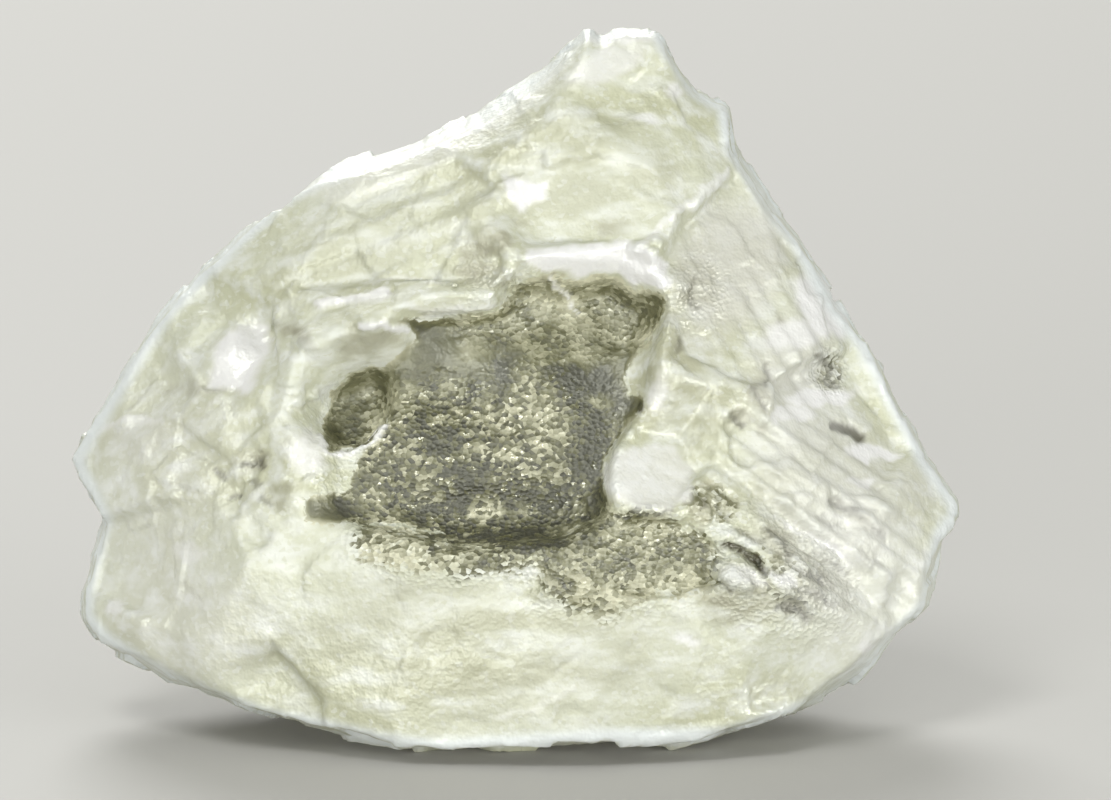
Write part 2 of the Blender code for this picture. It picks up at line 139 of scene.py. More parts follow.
def gap_to(corners: tuple, right: np.ndarray, up: np.ndarray) -> np.ndarray:
    """Measures how far spots of the sheet are from a line through corners.

    Args:
        corners: The line's corners, (right, up).
        right: How far right each spot lies.
        up: How far up each spot lies.

    Returns:
        The distance of each spot from the line.
    """
    nearest = np.full(right.shape, np.inf)
    for (x0, y0), (x1, y1) in zip(corners, corners[1:]):
        length = (x1 - x0) ** 2 + (y1 - y0) ** 2
        share = np.clip(((right - x0) * (x1 - x0) + (up - y0) * (y1 - y0)) / length, 0, 1)
        gap = np.hypot(right - x0 - share * (x1 - x0), up - y0 - share * (y1 - y0))
        nearest = np.minimum(nearest, gap)
    return nearest


@dataclass(frozen=True)
class Patch:
    """An oval patch of the face, soft at its edge: its middle, radii and turn on the sheet."""

    right: float
    up: float
    wide: float
    high: float
    turn: float = 0.0
    strength: float = 1.0
    fade: float = 0.5

    def cover(self, right: np.ndarray, up: np.ndarray) -> np.ndarray:
        """Tells how far each spot of the sheet is inside the patch.

        Args:
            right: How far right each spot of the sheet lies.
            up: How far up each spot lies.

        Returns:
            From 0 outside to the strength inside.
        """
        turn = math.radians(self.turn)
        along = (right - self.right) * math.cos(turn) + (up - self.up) * math.sin(turn)
        across = (up - self.up) * math.cos(turn) - (right - self.right) * math.sin(turn)
        reach = np.hypot(along / self.wide, across / self.high)
        return self.strength * smooth_step(-reach, -1 - self.fade / 2, -1 + self.fade / 2)


@dataclass(frozen=True)
class Outline:
    """A closed outline on the sheet with a soft edge."""

    corners: tuple[tuple[float, float], ...]
    fade: float = 0.12
    strength: float = 1.0

    def cover(self, right: np.ndarray, up: np.ndarray) -> np.ndarray:
        """Tells how far each spot of the sheet is inside the outline.

        Args:
            right: How far right each spot of the sheet lies.
            up: How far up each spot lies.

        Returns:
            From 0 outside to the strength inside.
        """
        closed = self.corners + self.corners[:1]
        gap = gap_to(closed, right, up)
        inside = np.zeros(right.shape, dtype=bool)
        for (x0, y0), (x1, y1) in zip(closed, closed[1:]):
            if y0 != y1:
                crosses = (y0 > up) != (y1 > up)
                inside ^= crosses & (right < x0 + (up - y0) * (x1 - x0) / (y1 - y0))
        return self.strength * smooth_step(np.where(inside, gap, -gap), -self.fade, self.fade)


@dataclass(frozen=True)
class Stroke:
    """A ridge or a groove along a line on the sheet: its width, and its height in the mesh."""

    corners: tuple[tuple[float, float], ...]
    width: float
    height: float
    strength: float = 1.0
    full: float = 0.25  # how far out it is at its full strength, as a share of the width
    gone: float = 0.75  # and how far out it ends

    def cover(self, right: np.ndarray, up: np.ndarray) -> np.ndarray:
        """Tells how far each spot of the sheet is on the stroke.

        Args:
            right: How far right each spot of the sheet lies.
            up: How far up each spot lies.

        Returns:
            From 0 off the stroke to the strength on it.
        """
        gap = gap_to(self.corners, right, up)
        full, gone = self.full * self.width, self.gone * self.width
        return self.strength * smooth_step(-gap, -gone, -full)


@dataclass
class NodeTree:
    """A material's node tree, for adding nodes to."""

    material: bpy.types.Material

    def add(
        self, kind: str, out: int | str = 0, settings: dict | None = None, **inputs: object
    ) -> Socket | None:
        """Adds a node, sets it up and links it.

        Args:
            kind: The node's type name.
            out: The output that is wanted, where it has outputs.
            settings: The node's own settings, by name.
            **inputs: Its inputs, a value or a socket to link each. An input goes by its name
                with underscores for spaces, or by the letter i and its number.

        Returns:
            The output.
        """
        made = self.material.node_tree.nodes.new(kind)
        for name, value in (settings or {}).items():
            setattr(made, name, value)
        for name, value in inputs.items():
            key = int(name[1:]) if name[0] == "i" and name[1:].isdigit() else name.replace("_", " ")
            if isinstance(value, Socket):
                self.material.node_tree.links.new(value, made.inputs[key])
            else:
                made.inputs[key].default_value = value
        return made.outputs[out] if made.outputs else None


@dataclass(frozen=True)
class Ramp:
    """How one value turns to another: low becomes start, high becomes end, and so between."""

    low: float = 0.0
    high: float = 1.0
    start: float = 0.0
    end: float = 1.0

    def inputs(self) -> dict[str, float]:
        """Gives the ramp as the inputs of a Map Range node."""
        names = ("From_Min", "From_Max", "To_Min", "To_Max")
        return dict(zip(names, (self.low, self.high, self.start, self.end)))


@dataclass(frozen=True)
class FrostedDiamond:
    """Diamond, grown and then etched: clear and faintly brown inside, frosted outside.

    The frosted skin scatters light, so it looks like cream-white sugar glass. Where the skin is
    gone, the window shows the darker inside through a mosaic of tiny etched facets. Thin edges
    let light through, and their bluish white is a painted glow; broken facets get painted
    highlights, and slits, pits and dips painted shade. Diamond's refraction is the highest of
    any gem, so even a rough face shines.
    """

    skin: str = "D7DAC4"
    skin_olive: str = "CACCAD"
    skin_white: str = "EFF2EA"
    skin_blush: str = "D6D5CE"
    # the olive-grey of the stain, also painted as shade in the dips
    stain_and_shade: str = "9B9882"
    window_dark: str = "1E1D0A"
    window: str = "67663F"
    window_light: str = "DEDCBE"
    # the dark brown of the painted shade
    painted_shade: str = "352C14"
    # the white of the painted highlights
    painted_highlight: str = "FFFFFF"
    # the bluish white of the painted glow on thin edges and ridges
    edge: str = "F4FAFB"
    inside: str = "D2C8AC"
    ior: float = 2.417
    gleam: float = 0.25  # a pitted face gives back less than a polished one
    gloss: str = "EEF0E2"  # the warm tint of its reflections
    transmission: float = 0.5
    inside_density: float = 35.0  # per metre
    cloud_size: float = 2.4  # mm, clouds of whiter and more olive skin
    mottle_size: float = 0.42  # mm, mottling within them
    streak_turn: float = math.radians(24.0)  # the growth streaks rise to the right
    streak_squash: float = 0.35
    frost_size: float = 0.11  # mm, the frost itself
    frost_depth: float = 0.018  # mm
    grain_size: float = 0.105  # mm, etched facets in the window
    grain_squash: float = 1.3  # they are wider than high
    grain_depth: float = 0.040  # mm
    cluster_size: float = 0.75  # mm, clusters of lighter ones
    cream: Ramp = Ramp(0.42, 0.60)  # from the clouds
    white: Ramp = Ramp(0.45, 0.72)  # from the mottling
    white_fleck: Ramp = Ramp(0.75, 1.0, 0.0, 0.55)  # a few facets of the skin
    olive_fleck: Ramp = Ramp(0.75, 1.0, 0.0, 0.45)
    # the mottling breaks up the stain and the painted shade alike
    patchy: Ramp = Ramp(0.62, 0.40, 0.25)  # how well the mottling lets the stain show
    ground: Ramp = Ramp(0.3, 0.7, 0.04, 0.50)  # the window's tone, from the clusters
    spread: Ramp = Ramp(0.0, 1.0, -0.40, 0.50)  # how far each etched facet strays from it
    thin: Ramp = Ramp(0.2, 1.0, 0.46, 0.0)  # the window is lighter where some skin is left
    # the painted shade darkens the window's tone
    dark_tone: float = -0.44  # what the darkest places add to the tone
    # what the paler facets and the painted light add to the tone
    pale_tone: float = 0.40
    low_tones: Ramp = Ramp(0.0, 0.5)
    high_tones: Ramp = Ramp(0.42, 1.0)
    ragged: float = -0.45  # how much the skin's broken edge follows the facets
    opened: Ramp = Ramp(0.20, 0.38)
    skin_rough: Ramp = Ramp(0.3, 0.7, 0.36, 0.62)
    facet_rough: Ramp = Ramp(0.84, 0.94, 0.58, 0.20)  # the few smooth ones glint
    painted_highlight_rough: float = 0.36

    def material(self) -> bpy.types.Material:
        """Makes the finish.

        Returns:
            The material, for the whole stone.
        """
        made = bpy.data.materials.new("frosted_diamond")
        made.use_nodes = True
        made.node_tree.nodes.clear()
        tree = NodeTree(made)
        place = tree.add("ShaderNodeTexCoord", "Object")
        marks = {
            mark: tree.add("ShaderNodeAttribute", "Fac", {"attribute_name": mark.value})
            for mark in Mark
        }
        squashed = tree.add(
            "ShaderNodeMapping", Vector=place, Scale=(1.0, 1.0, self.grain_squash)
        )
        relief = tree.add(
            "ShaderNodeTexVoronoi", "Distance", Vector=squashed, Scale=1 / (self.grain_size * MM)
        )
        shade = tree.add("ShaderNodeSeparateColor", Color=relief.node.outputs["Color"])
        along = tree.add(
            "ShaderNodeMapping",
            Vector=place,
            Rotation=(0.0, self.streak_turn, 0.0),
            Scale=(self.streak_squash, 1.0, 1.0),
        )
        clouds = tree.add(
            "ShaderNodeTexNoise", Vector=along, Scale=1 / (self.cloud_size * MM), Detail=1.0
        )
        surface = tree.add(
            "ShaderNodeBsdfPrincipled",
            Base_Color=self._colour(tree, place, along, clouds, marks, shade),
            Roughness=self._roughness(tree, clouds, marks, shade),
            IOR=self.ior,
            Specular_IOR_Level=self.gleam,
            Specular_Tint=linear(self.gloss),
            Transmission_Weight=self.transmission,
            Normal=self._frost(tree, place, marks, relief),
        )
        inside = tree.add(
            "ShaderNodeVolumeAbsorption", Color=linear(self.inside), Density=self.inside_density
        )
        tree.add("ShaderNodeOutputMaterial", Surface=surface, Volume=inside)
        return made

    def _colour(
        self,
        tree: NodeTree,
        place: Socket,
        along: Socket,
        clouds: Socket,
        marks: dict[Mark, Socket],
        shade: Socket,
    ) -> Socket:
        """Lays the skin, the window, painted shade and highlights, and the edges' painted glow
        together.

        Args:
            tree: The tree to add to.
            place: The point's place in the stone.
            along: The same, drawn out along the growth streaks.
            clouds: The clouds in the skin.
            marks: The sockets of the marks.
            shade: A random shade for each etched facet.

        Returns:
            The colour.
        """
        mottle = tree.add(
            "ShaderNodeTexNoise", Vector=along, Scale=1 / (self.mottle_size * MM), Detail=2.0
        )
        cluster = tree.add(
            "ShaderNodeTexNoise", Vector=place, Scale=1 / (self.cluster_size * MM), Detail=1.0
        )
        ramps = (
            (self.cream, clouds),
            (self.white, mottle),
            (self.white_fleck, shade.node.outputs["Blue"]),
            (self.olive_fleck, shade.node.outputs["Green"]),
            (self.patchy, mottle),
            (self.ground, cluster),
            (self.spread, shade),
            (self.thin, marks[Mark.WINDOW]),
        )
        cream, white, white_fleck, olive_fleck, patchy, tone, spread, thin = (
            tree.add("ShaderNodeMapRange", Value=value, **ramp.inputs()) for ramp, value in ramps
        )
        stain_and_shade = tree.add(
            "ShaderNodeMath", 0, {"operation": "MULTIPLY"}, i0=marks[Mark.STAIN_AND_SHADE], i1=patchy
        )

        added = {"operation": "MULTIPLY_ADD"}
        for share, weight in (
            (marks[Mark.GRAIN], spread),
            (thin, 1.0),
            (marks[Mark.DARK], self.dark_tone),
            (marks[Mark.PALE], self.pale_tone),
        ):
            tone = tree.add("ShaderNodeMath", 0, added, i0=share, i1=weight, i2=tone)
        broken = tree.add(
            "ShaderNodeMath", 0, added, i0=spread, i1=self.ragged, i2=marks[Mark.WINDOW]
        )
        low, high, opened = (
            tree.add("ShaderNodeMapRange", Value=value, **ramp.inputs())
            for ramp, value in (
                (self.low_tones, tone),
                (self.high_tones, tone),
                (self.opened, broken),
            )
        )

        rgba = {"data_type": "RGBA"}
        window = linear(self.window_dark)
        for share, over in ((low, self.window), (high, self.window_light)):
            window = tree.add("ShaderNodeMix", 2, rgba, i0=share, i6=window, i7=linear(over))
        colour = linear(self.skin_olive)
        for share, over in (
            (cream, linear(self.skin)),
            (white, linear(self.skin_white)),
            (white_fleck, linear(self.skin_white)),
            (olive_fleck, linear(self.skin_olive)),
            (marks[Mark.BLUSH], linear(self.skin_blush)),
            (stain_and_shade, linear(self.stain_and_shade)),
            # painted shade, then the window, painted highlights and the painted glow
            (marks[Mark.DARK], linear(self.painted_shade)),
            (opened, window),
            (marks[Mark.PAINTED_HIGHLIGHT], linear(self.painted_highlight)),
            (marks[Mark.PAINTED_GLOW], linear(self.edge)),
        ):
            colour = tree.add("ShaderNodeMix", 2, rgba, i0=share, i6=colour, i7=over)
        return colour

    def _roughness(
        self,
        tree: NodeTree,
        clouds: Socket,
        marks: dict[Mark, Socket],
        shade: Socket,
    ) -> Socket:
        """Makes the skin frosted, with tiny glints, and fresh facets smoother.

        Args:
            tree: The tree to add to.
            clouds: The clouds in the skin.
            marks: The sockets of the marks.
            shade: A random shade for each etched facet.

        Returns:
            The roughness.
        """
        skin = tree.add("ShaderNodeMapRange", Value=clouds, **self.skin_rough.inputs())
        etched = tree.add("ShaderNodeMapRange", Value=shade, **self.facet_rough.inputs())
        grainy = tree.add(
            "ShaderNodeMath",
            0,
            {"operation": "MULTIPLY"},
            i0=marks[Mark.WINDOW],
            i1=marks[Mark.GRAIN],
        )
        rough = tree.add("ShaderNodeMix", 0, i0=grainy, i2=skin, i3=etched)
        return tree.add("ShaderNodeMix", 0, i0=marks[Mark.PAINTED_HIGHLIGHT], i2=rough, i3=self.painted_highlight_rough)

    def _frost(
        self,
        tree: NodeTree,
        place: Socket,
        marks: dict[Mark, Socket],
        relief: Socket,
    ) -> Socket:
        """Raises the frost all over, and the etched facets in the window.

        Args:
            tree: The tree to add to.
            place: The point's place in the stone.
            marks: The sockets of the marks.
            relief: The height of the etched facets.

        Returns:
            The normal.
        """
        times, added = {"operation": "MULTIPLY"}, {"operation": "MULTIPLY_ADD"}
        frost = tree.add(
            "ShaderNodeTexNoise", Vector=place, Scale=1 / (self.frost_size * MM), Detail=1.0
        )
        frost = tree.add("ShaderNodeMath", 0, times, i0=frost, i1=self.frost_depth)
        etched = tree.add("ShaderNodeMath", 0, times, i0=relief, i1=marks[Mark.GRAIN])
        height = tree.add("ShaderNodeMath", 0, added, i0=etched, i1=self.grain_depth, i2=frost)
        return tree.add("ShaderNodeBump", Strength=1.0, Distance=MM, Height=height)


@dataclass(frozen=True)
class Lines:
    """Growth lines, the edges of thin crystal sheets: where, their turn, gap and height."""

    where: Patch
    turn: float
    gap: float
    height: float
    crest: float = 0.65  # where the height is reached, as a share of the gap

    def rise(self, right: np.ndarray, up: np.ndarray) -> np.ndarray:
        """Gives the height of the lines.

        Args:
            right: How far right each spot of the sheet lies.
            up: How far up each spot lies.

        Returns:
            The height of each spot, in mm.
        """
        turn = math.radians(self.turn)
        across = up * math.cos(turn) - right * math.sin(turn)
        teeth = (across / self.gap) % 1.0
        climb = smooth_step(teeth, 0.0, self.crest) - smooth_step(teeth, self.crest, 1.0)
        return self.height * (climb - 0.5) * self.where.cover(right, up)


# The tables from here to Points lay the face out in millimetres, right and up on its sheet. Each
# row's numbers stand in the order of its class's fields, as in a patch: right, up, wide, high,
# turn, strength and fade.

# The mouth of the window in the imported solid, whose walls are worn down to slopes here.
MOUTH = Outline(
    (
        (-4.35, 5.70), (-4.20, 6.70), (-3.60, 7.40), (-2.40, 8.15), (-1.80, 8.40), (-0.50, 8.40),
        (-0.10, 8.75), (0.50, 8.95), (2.00, 8.90), (2.80, 8.65), (3.25, 8.30), (3.10, 7.70),
        (2.75, 7.00), (2.85, 6.35), (2.45, 5.70), (2.10, 5.20), (1.95, 4.60), (2.00, 3.95),
        (0.95, 3.30), (-0.95, 3.15), (-2.15, 3.22), (-3.40, 3.60), (-4.20, 4.05), (-3.95, 4.80),
    ),
    0.35,
)
# Where the walls stay as crisp as they are.
CRISP = (Patch(1.30, 8.90, 1.70, 0.42, 0), Patch(2.35, 5.15, 0.65, 0.85, -30))
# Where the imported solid's cuts are worn smooth.
WORN = (
    Patch(2.10, 12.35, 1.70, 0.90, 0, 1.0, 0.6),
    Patch(-1.60, 9.60, 2.60, 0.60, 15, 0.5, 0.8),
    Patch(-6.30, 1.30, 1.20, 0.80, -30, 0.8, 0.8),
)
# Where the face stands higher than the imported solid, with a strength in mm: soft bars on the
# right flank, skin that bridges the window's corners, its lip, and a facet turned to the light.
BRIDGES = (
    Stroke(((4.00, 3.05), (4.30, 2.92), (4.60, 2.70)), 0.26, 0.0, 0.16),
    Stroke(((5.00, 2.98), (5.50, 2.62)), 0.24, 0.0, 0.09),
    Stroke(((5.60, 3.62), (6.30, 3.18)), 0.24, 0.0, 0.08),
    Stroke(((6.40, 3.78), (7.00, 3.40)), 0.24, 0.0, 0.07),
    Stroke(((5.90, 2.24), (6.50, 2.04)), 0.24, 0.0, 0.08),
    Stroke(((7.00, 4.52), (7.60, 4.18)), 0.24, 0.0, 0.07),
    Stroke(((4.60, 4.22), (5.25, 3.86)), 0.24, 0.0, 0.08),
    Stroke(((5.10, 5.10), (5.90, 4.72)), 0.24, 0.0, 0.07),
    Patch(-3.35, 7.45, 1.15, 0.55, 30, 0.55, 1.2),
    Patch(-6.10, 7.60, 0.80, 0.66, 40, 0.60, 1.2),
    Patch(-4.20, 5.10, 0.55, 1.00, 0, 0.20, 1.0),
    Patch(-1.30, 8.35, 1.20, 0.22, 0, 0.20, 1.0),
    Stroke(((0.30, 9.04), (2.05, 9.00), (2.40, 8.76), (3.10, 8.64)), 0.60, 0.0, 0.17),
    Stroke(((-3.20, 8.20), (-2.30, 8.18), (-0.40, 8.24)), 0.40, 0.0, 0.10),
)
# What each mark covers on the face.
COVERS = {
    Mark.WINDOW: (
        Outline(
            (
                (-2.30, 8.02), (-1.50, 8.06), (-0.30, 8.10), (-0.10, 8.40), (0.10, 8.74),
                (0.50, 8.88), (2.00, 8.86), (2.40, 8.58), (3.02, 8.56), (3.02, 8.20),
                (2.80, 7.85), (2.50, 7.40), (2.22, 7.00), (2.25, 6.60), (2.56, 6.38),
                (2.30, 5.95), (2.00, 5.50), (1.74, 5.20), (1.70, 4.80), (1.92, 4.40),
                (1.90, 4.05), (0.95, 3.80), (0.90, 3.45), (0.40, 3.33), (-0.30, 3.48),
                (-1.20, 3.60), (-1.60, 3.82), (-2.40, 3.92), (-3.15, 3.88), (-3.60, 4.00),
                (-4.14, 4.08), (-4.20, 4.40), (-3.40, 4.52), (-3.22, 4.90), (-3.02, 5.25),
                (-2.80, 5.60), (-2.60, 6.00), (-2.66, 6.50), (-2.60, 6.90), (-2.35, 7.25),
                (-1.95, 7.60), (-2.10, 7.85),
            ),
            0.14,
        ),
        Outline(
            (
                (-3.90, 5.70), (-3.80, 6.15), (-3.62, 6.60), (-3.30, 6.92), (-2.90, 6.98),
                (-2.45, 6.90), (-2.25, 6.40), (-2.60, 5.95), (-2.90, 5.60), (-3.20, 5.42),
                (-3.60, 5.40), (-3.84, 5.50),
            ),
            0.09,
        ),
        Outline(
            (
                (0.80, 3.60), (1.90, 4.25), (2.90, 4.22), (3.35, 3.85), (3.92, 3.60),
                (4.05, 3.00), (3.90, 2.62), (3.40, 2.45), (2.90, 2.60), (2.00, 2.10),
                (1.25, 2.10), (0.60, 2.75), (0.20, 3.20),
            ),
            0.30,
            0.62,
        ),
        Outline(
            (
                (-3.10, 3.95), (-1.20, 3.75), (0.40, 3.45), (0.10, 3.00), (-1.00, 2.90),
                (-2.10, 2.95), (-3.00, 3.10), (-3.30, 3.55),
            ),
            0.25,
            0.50,
        ),
        Patch(3.85, 4.35, 0.55, 0.42, -30, 0.40, 0.8),
        Patch(5.45, 2.75, 1.00, 0.50, -30, 0.32, 0.9),
        Patch(6.35, 7.00, 0.25, 0.34, -20, 0.30, 0.8),
    ),
    Mark.GRAIN: (
        Patch(-0.90, 5.00, 2.70, 1.75, -5, 1.0, 0.8),
        Patch(0.60, 5.80, 1.50, 1.35, -30, 0.85, 1.0),
        Patch(-3.10, 6.20, 1.00, 1.00, 0, 0.35, 0.6),
        Patch(-1.60, 3.60, 1.90, 0.90, -5, 1.0, 0.5),
        Patch(1.90, 3.20, 2.40, 1.20, 0, 0.66, 0.4),
        Patch(5.00, 3.00, 2.00, 1.20, -30, 0.7, 0.5),
        Patch(3.60, 8.60, 0.80, 0.80, 0, 0.6, 0.6),
        Patch(0.90, 8.10, 2.60, 0.90, -3, 0.5, 0.7),
        Patch(6.35, 7.00, 0.40, 0.50, 0, 0.8, 0.5),
    ),
    # Painted shade in the window's pits and deepest places.
    Mark.DARK: (
        Patch(-3.40, 5.72, 0.50, 0.22, 20, 0.45, 0.9),
        Patch(-1.55, 5.55, 0.45, 0.26, 0, 0.9, 0.9),
        Patch(-1.00, 5.00, 0.55, 0.22, -15, 0.8, 0.9),
        Patch(-1.10, 4.45, 0.16, 0.40, 0, 0.9, 0.9),
        Patch(-0.10, 4.50, 0.16, 0.50, 0, 0.8, 0.9),
        Patch(0.55, 4.42, 0.60, 0.22, 0, 0.8, 0.9),
        Patch(-0.35, 3.76, 1.00, 0.15, -3, 0.6, 0.9),
        Patch(0.55, 3.55, 0.45, 0.24, 0, 0.7, 0.9),
        Patch(-1.85, 4.10, 0.45, 0.22, 0, 0.6, 0.9),
        Patch(1.05, 6.45, 0.25, 0.40, 0, 0.7, 0.9),
        Patch(0.95, 6.90, 0.50, 0.18, 0, 0.7, 0.9),
        Patch(1.75, 6.85, 0.22, 0.30, 0, 0.8, 0.9),
        Patch(-0.25, 6.85, 0.22, 0.32, 0, 0.7, 0.9),
        Patch(-0.90, 4.85, 1.00, 0.45, -10, 0.4, 0.9),
        Patch(1.85, 8.30, 0.75, 0.22, -5, 0.25, 0.9),
        Patch(1.55, 5.15, 0.25, 0.65, 0, 0.5, 0.9),
        Patch(2.54, 6.28, 0.08, 0.13, 0, 1.0, 0.6),
        Outline(
            (
                (-4.12, 4.36), (-3.58, 4.46), (-3.20, 4.32), (-3.16, 4.10), (-3.45, 3.98),
                (-3.85, 4.04), (-4.08, 4.16),
            ),
            0.12,
            0.30,
        ),
        Patch(1.90, 6.10, 0.40, 0.60, 0, 0.3, 0.9),
        Patch(-3.32, 4.20, 0.34, 0.20, -12, 0.6, 0.9),
    ),
    # Painted highlights on facets, ridges and edges that face the lamps.
    Mark.PAINTED_HIGHLIGHT: (
        Outline(
            (
                (0.20, 9.44), (0.42, 9.00), (2.05, 8.94), (2.35, 8.72), (3.05, 8.66),
                (3.00, 9.15), (2.60, 9.48), (2.20, 9.52),
            ),
            0.06,
        ),
        Outline(
            (
                (1.74, 4.88), (2.02, 5.22), (2.50, 5.52), (3.20, 5.48), (3.52, 4.92),
                (3.46, 4.42), (3.00, 4.20), (2.42, 4.24), (2.02, 4.46),
            ),
            0.08,
            0.62,
        ),
        Outline(
            (
                (-6.22, 6.60), (-6.10, 7.40), (-5.80, 7.80), (-5.05, 7.88), (-4.95, 7.35),
                (-5.20, 6.90), (-5.36, 6.58),
            ),
            0.14,
        ),
        Outline(
            ((-0.25, 10.82), (0.72, 10.80), (0.58, 10.40), (0.20, 10.18), (-0.10, 10.45)),
            0.07,
            1.0,
        ),
        Patch(1.80, 13.15, 0.85, 0.30, 20, 0.6, 0.8),
        Patch(6.20, 8.30, 0.45, 0.75, 36, 1.0, 0.5),
        Patch(5.60, 7.72, 0.60, 0.30, 10, 0.8, 0.7),
        Patch(6.10, 6.45, 0.75, 0.20, 4, 1.0, 0.6),
        Patch(5.55, 6.12, 0.50, 0.16, 4, 0.9, 0.6),
        Patch(7.20, 5.32, 0.55, 0.14, -3, 1.0, 0.6),
        Patch(6.95, 4.75, 0.30, 0.12, 0, 0.8, 0.7),
        Patch(5.30, 2.85, 0.40, 0.10, -30, 0.8, 0.7),
        Patch(6.30, 3.45, 0.50, 0.10, -33, 0.8, 0.7),
        Patch(5.60, 3.80, 0.45, 0.09, -33, 0.7, 0.7),
        Patch(4.55, 2.92, 0.45, 0.16, -20, 0.7, 0.8),
        Patch(6.60, 3.98, 0.35, 0.10, -25, 0.5, 0.8),
        Patch(-6.55, 3.35, 0.40, 0.22, 0, 0.6, 0.9),
        Patch(-6.50, 2.40, 0.22, 0.25, 0, 0.5, 0.9),
        Patch(-8.05, 2.22, 0.18, 0.16, 0, 0.8, 0.7),
        Patch(3.50, 1.62, 0.26, 0.13, 0, 0.8, 0.7),
        Patch(7.02, 1.52, 0.16, 0.16, 0, 0.8, 0.7),
        Patch(3.20, 12.60, 0.20, 0.20, 0, 0.7, 0.8),
        Patch(2.60, 12.08, 0.28, 0.10, 0, 0.6, 0.8),
        Patch(-4.20, 5.35, 0.35, 0.40, 0, 0.7, 0.9),
        Patch(2.85, 6.50, 0.16, 0.35, 0, 0.6, 0.8),
        Outline(
            (
                (-4.70, 10.55), (-4.10, 10.90), (-3.00, 11.32), (-1.95, 11.64), (-0.70, 12.20),
                (0.34, 12.96), (1.10, 13.60), (1.00, 13.00), (-0.10, 12.00), (-1.10, 11.30),
                (-2.00, 10.85), (-2.80, 10.50), (-3.70, 10.35),
            ),
            0.20,
            0.40,
        ),
        Patch(2.20, 13.85, 1.10, 0.28, 0, 0.7, 0.8),
        # Broad, faint painted light on the lower corners and flanks, which face away from the
        # lamps.
        Patch(7.20, 2.60, 1.60, 1.90, 20, 0.40, 1.2),
        Patch(8.15, 4.70, 0.60, 0.60, 0, 0.30, 1.0),
        Patch(-7.30, 4.60, 1.50, 2.40, -15, 0.24, 1.2),
        Patch(5.70, 6.25, 1.10, 0.80, 0, 0.30, 1.2),
        Patch(-6.70, 2.10, 1.70, 1.30, -20, 0.35, 1.2),
    ),
    Mark.PALE: (
        Patch(0.05, 5.75, 1.05, 0.85, 20, 0.45, 1.2),
        Patch(-0.78, 4.18, 0.16, 0.09, 20, 0.6, 0.9),
        Patch(-0.45, 4.05, 0.18, 0.08, -15, 0.6, 0.9),
        Patch(-0.55, 4.34, 0.12, 0.07, 0, 0.5, 0.9),
        Patch(1.78, 6.32, 0.26, 0.20, 0, 0.9, 0.9),
        Patch(0.55, 5.35, 0.60, 0.35, 0, 0.5, 0.9),
        Patch(-0.70, 5.35, 0.40, 0.14, 0, 0.7, 0.9),
        Stroke(((-1.75, 6.32), (-1.30, 6.34), (-1.12, 6.15)), 0.12, 0.0, 0.7),
        Stroke(((-0.55, 6.18), (0.00, 6.20)), 0.14, 0.0, 1.0),
        Stroke(((-0.40, 6.95), (-0.45, 6.55)), 0.12, 0.0, 0.7),
        Stroke(((0.05, 6.20), (0.30, 6.60), (0.45, 6.95)), 0.12, 0.0, 0.5),
        Stroke(((0.35, 4.88), (0.85, 4.90), (1.00, 5.05)), 0.12, 0.0, 0.7),
        Patch(-2.50, 3.60, 0.60, 0.50, 0, 0.35, 0.9),
        # Painted light, lifting the shade under the window's overhanging top.
        Patch(1.30, 8.25, 2.20, 1.00, 0, 0.80, 1.0),
        Patch(-1.00, 7.60, 1.30, 0.35, 0, 0.30, 1.0),
        # Painted light, lifting the shade on the oval pit's wall.
        Patch(-3.10, 6.35, 1.10, 0.95, 0, 0.70, 1.0),
        Patch(2.50, 2.60, 1.20, 0.50, 0, 0.35, 0.9),
    ),
    Mark.STAIN_AND_SHADE: (
        Patch(-0.80, 9.42, 0.36, 0.34, 0, 0.8, 0.8),
        Patch(-0.60, 8.90, 0.60, 0.28, -10, 0.8, 0.8),
        Patch(1.95, 9.85, 0.36, 0.24, -20, 0.6, 0.8),
        Patch(0.10, 9.92, 0.30, 0.12, 0, 0.5, 0.8),
        Patch(-2.70, 7.30, 0.95, 0.60, -20, 0.7, 0.9),
        Patch(-4.35, 7.70, 0.55, 0.16, -30, 0.9, 0.8),
        Patch(-6.50, 6.60, 0.60, 0.14, 0, 0.5, 0.8),
        Patch(-4.70, 4.45, 0.30, 0.25, 0, 0.6, 0.8),
        Patch(-5.25, 5.20, 0.30, 0.24, 0, 0.6, 0.8),
        Patch(3.30, 7.50, 0.18, 0.18, 0, 0.7, 0.8),
        Patch(4.90, 6.50, 0.20, 0.40, 0, 0.6, 0.8),
        Patch(4.45, 6.08, 0.25, 0.16, 0, 0.7, 0.8),
        Patch(4.90, 5.85, 0.12, 0.16, 0, 0.7, 0.8),
        Patch(3.65, 8.75, 0.40, 0.55, 0, 0.5, 0.9),
        Patch(5.35, 7.80, 0.12, 0.30, 0, 0.6, 0.8),
        Patch(3.90, 4.35, 0.50, 0.36, -30, 0.8, 0.8),
        Patch(4.40, 2.42, 0.90, 0.46, -12, 0.85, 0.9),
        Patch(3.60, 2.75, 0.45, 0.35, 0, 0.7, 0.9),
        Patch(6.00, 2.78, 0.95, 0.40, -27, 0.85, 0.9),
        Patch(5.25, 3.45, 0.42, 0.34, -40, 0.9, 0.8),
        Patch(5.55, 2.20, 0.38, 0.24, -20, 0.9, 0.8),
        Patch(6.72, 4.20, 0.42, 0.15, -20, 0.8, 0.8),
        Patch(7.20, 3.85, 0.32, 0.14, -15, 0.6, 0.8),
        Patch(-2.40, 2.60, 0.40, 0.25, 0, 0.4, 0.9),
        Patch(5.30, 0.50, 0.60, 0.40, 0, 0.3, 0.9),
        Patch(2.60, 11.00, 0.90, 0.50, -30, 0.25, 0.9),
        Patch(-0.45, 9.55, 0.34, 0.28, 0, 0.8, 0.8),
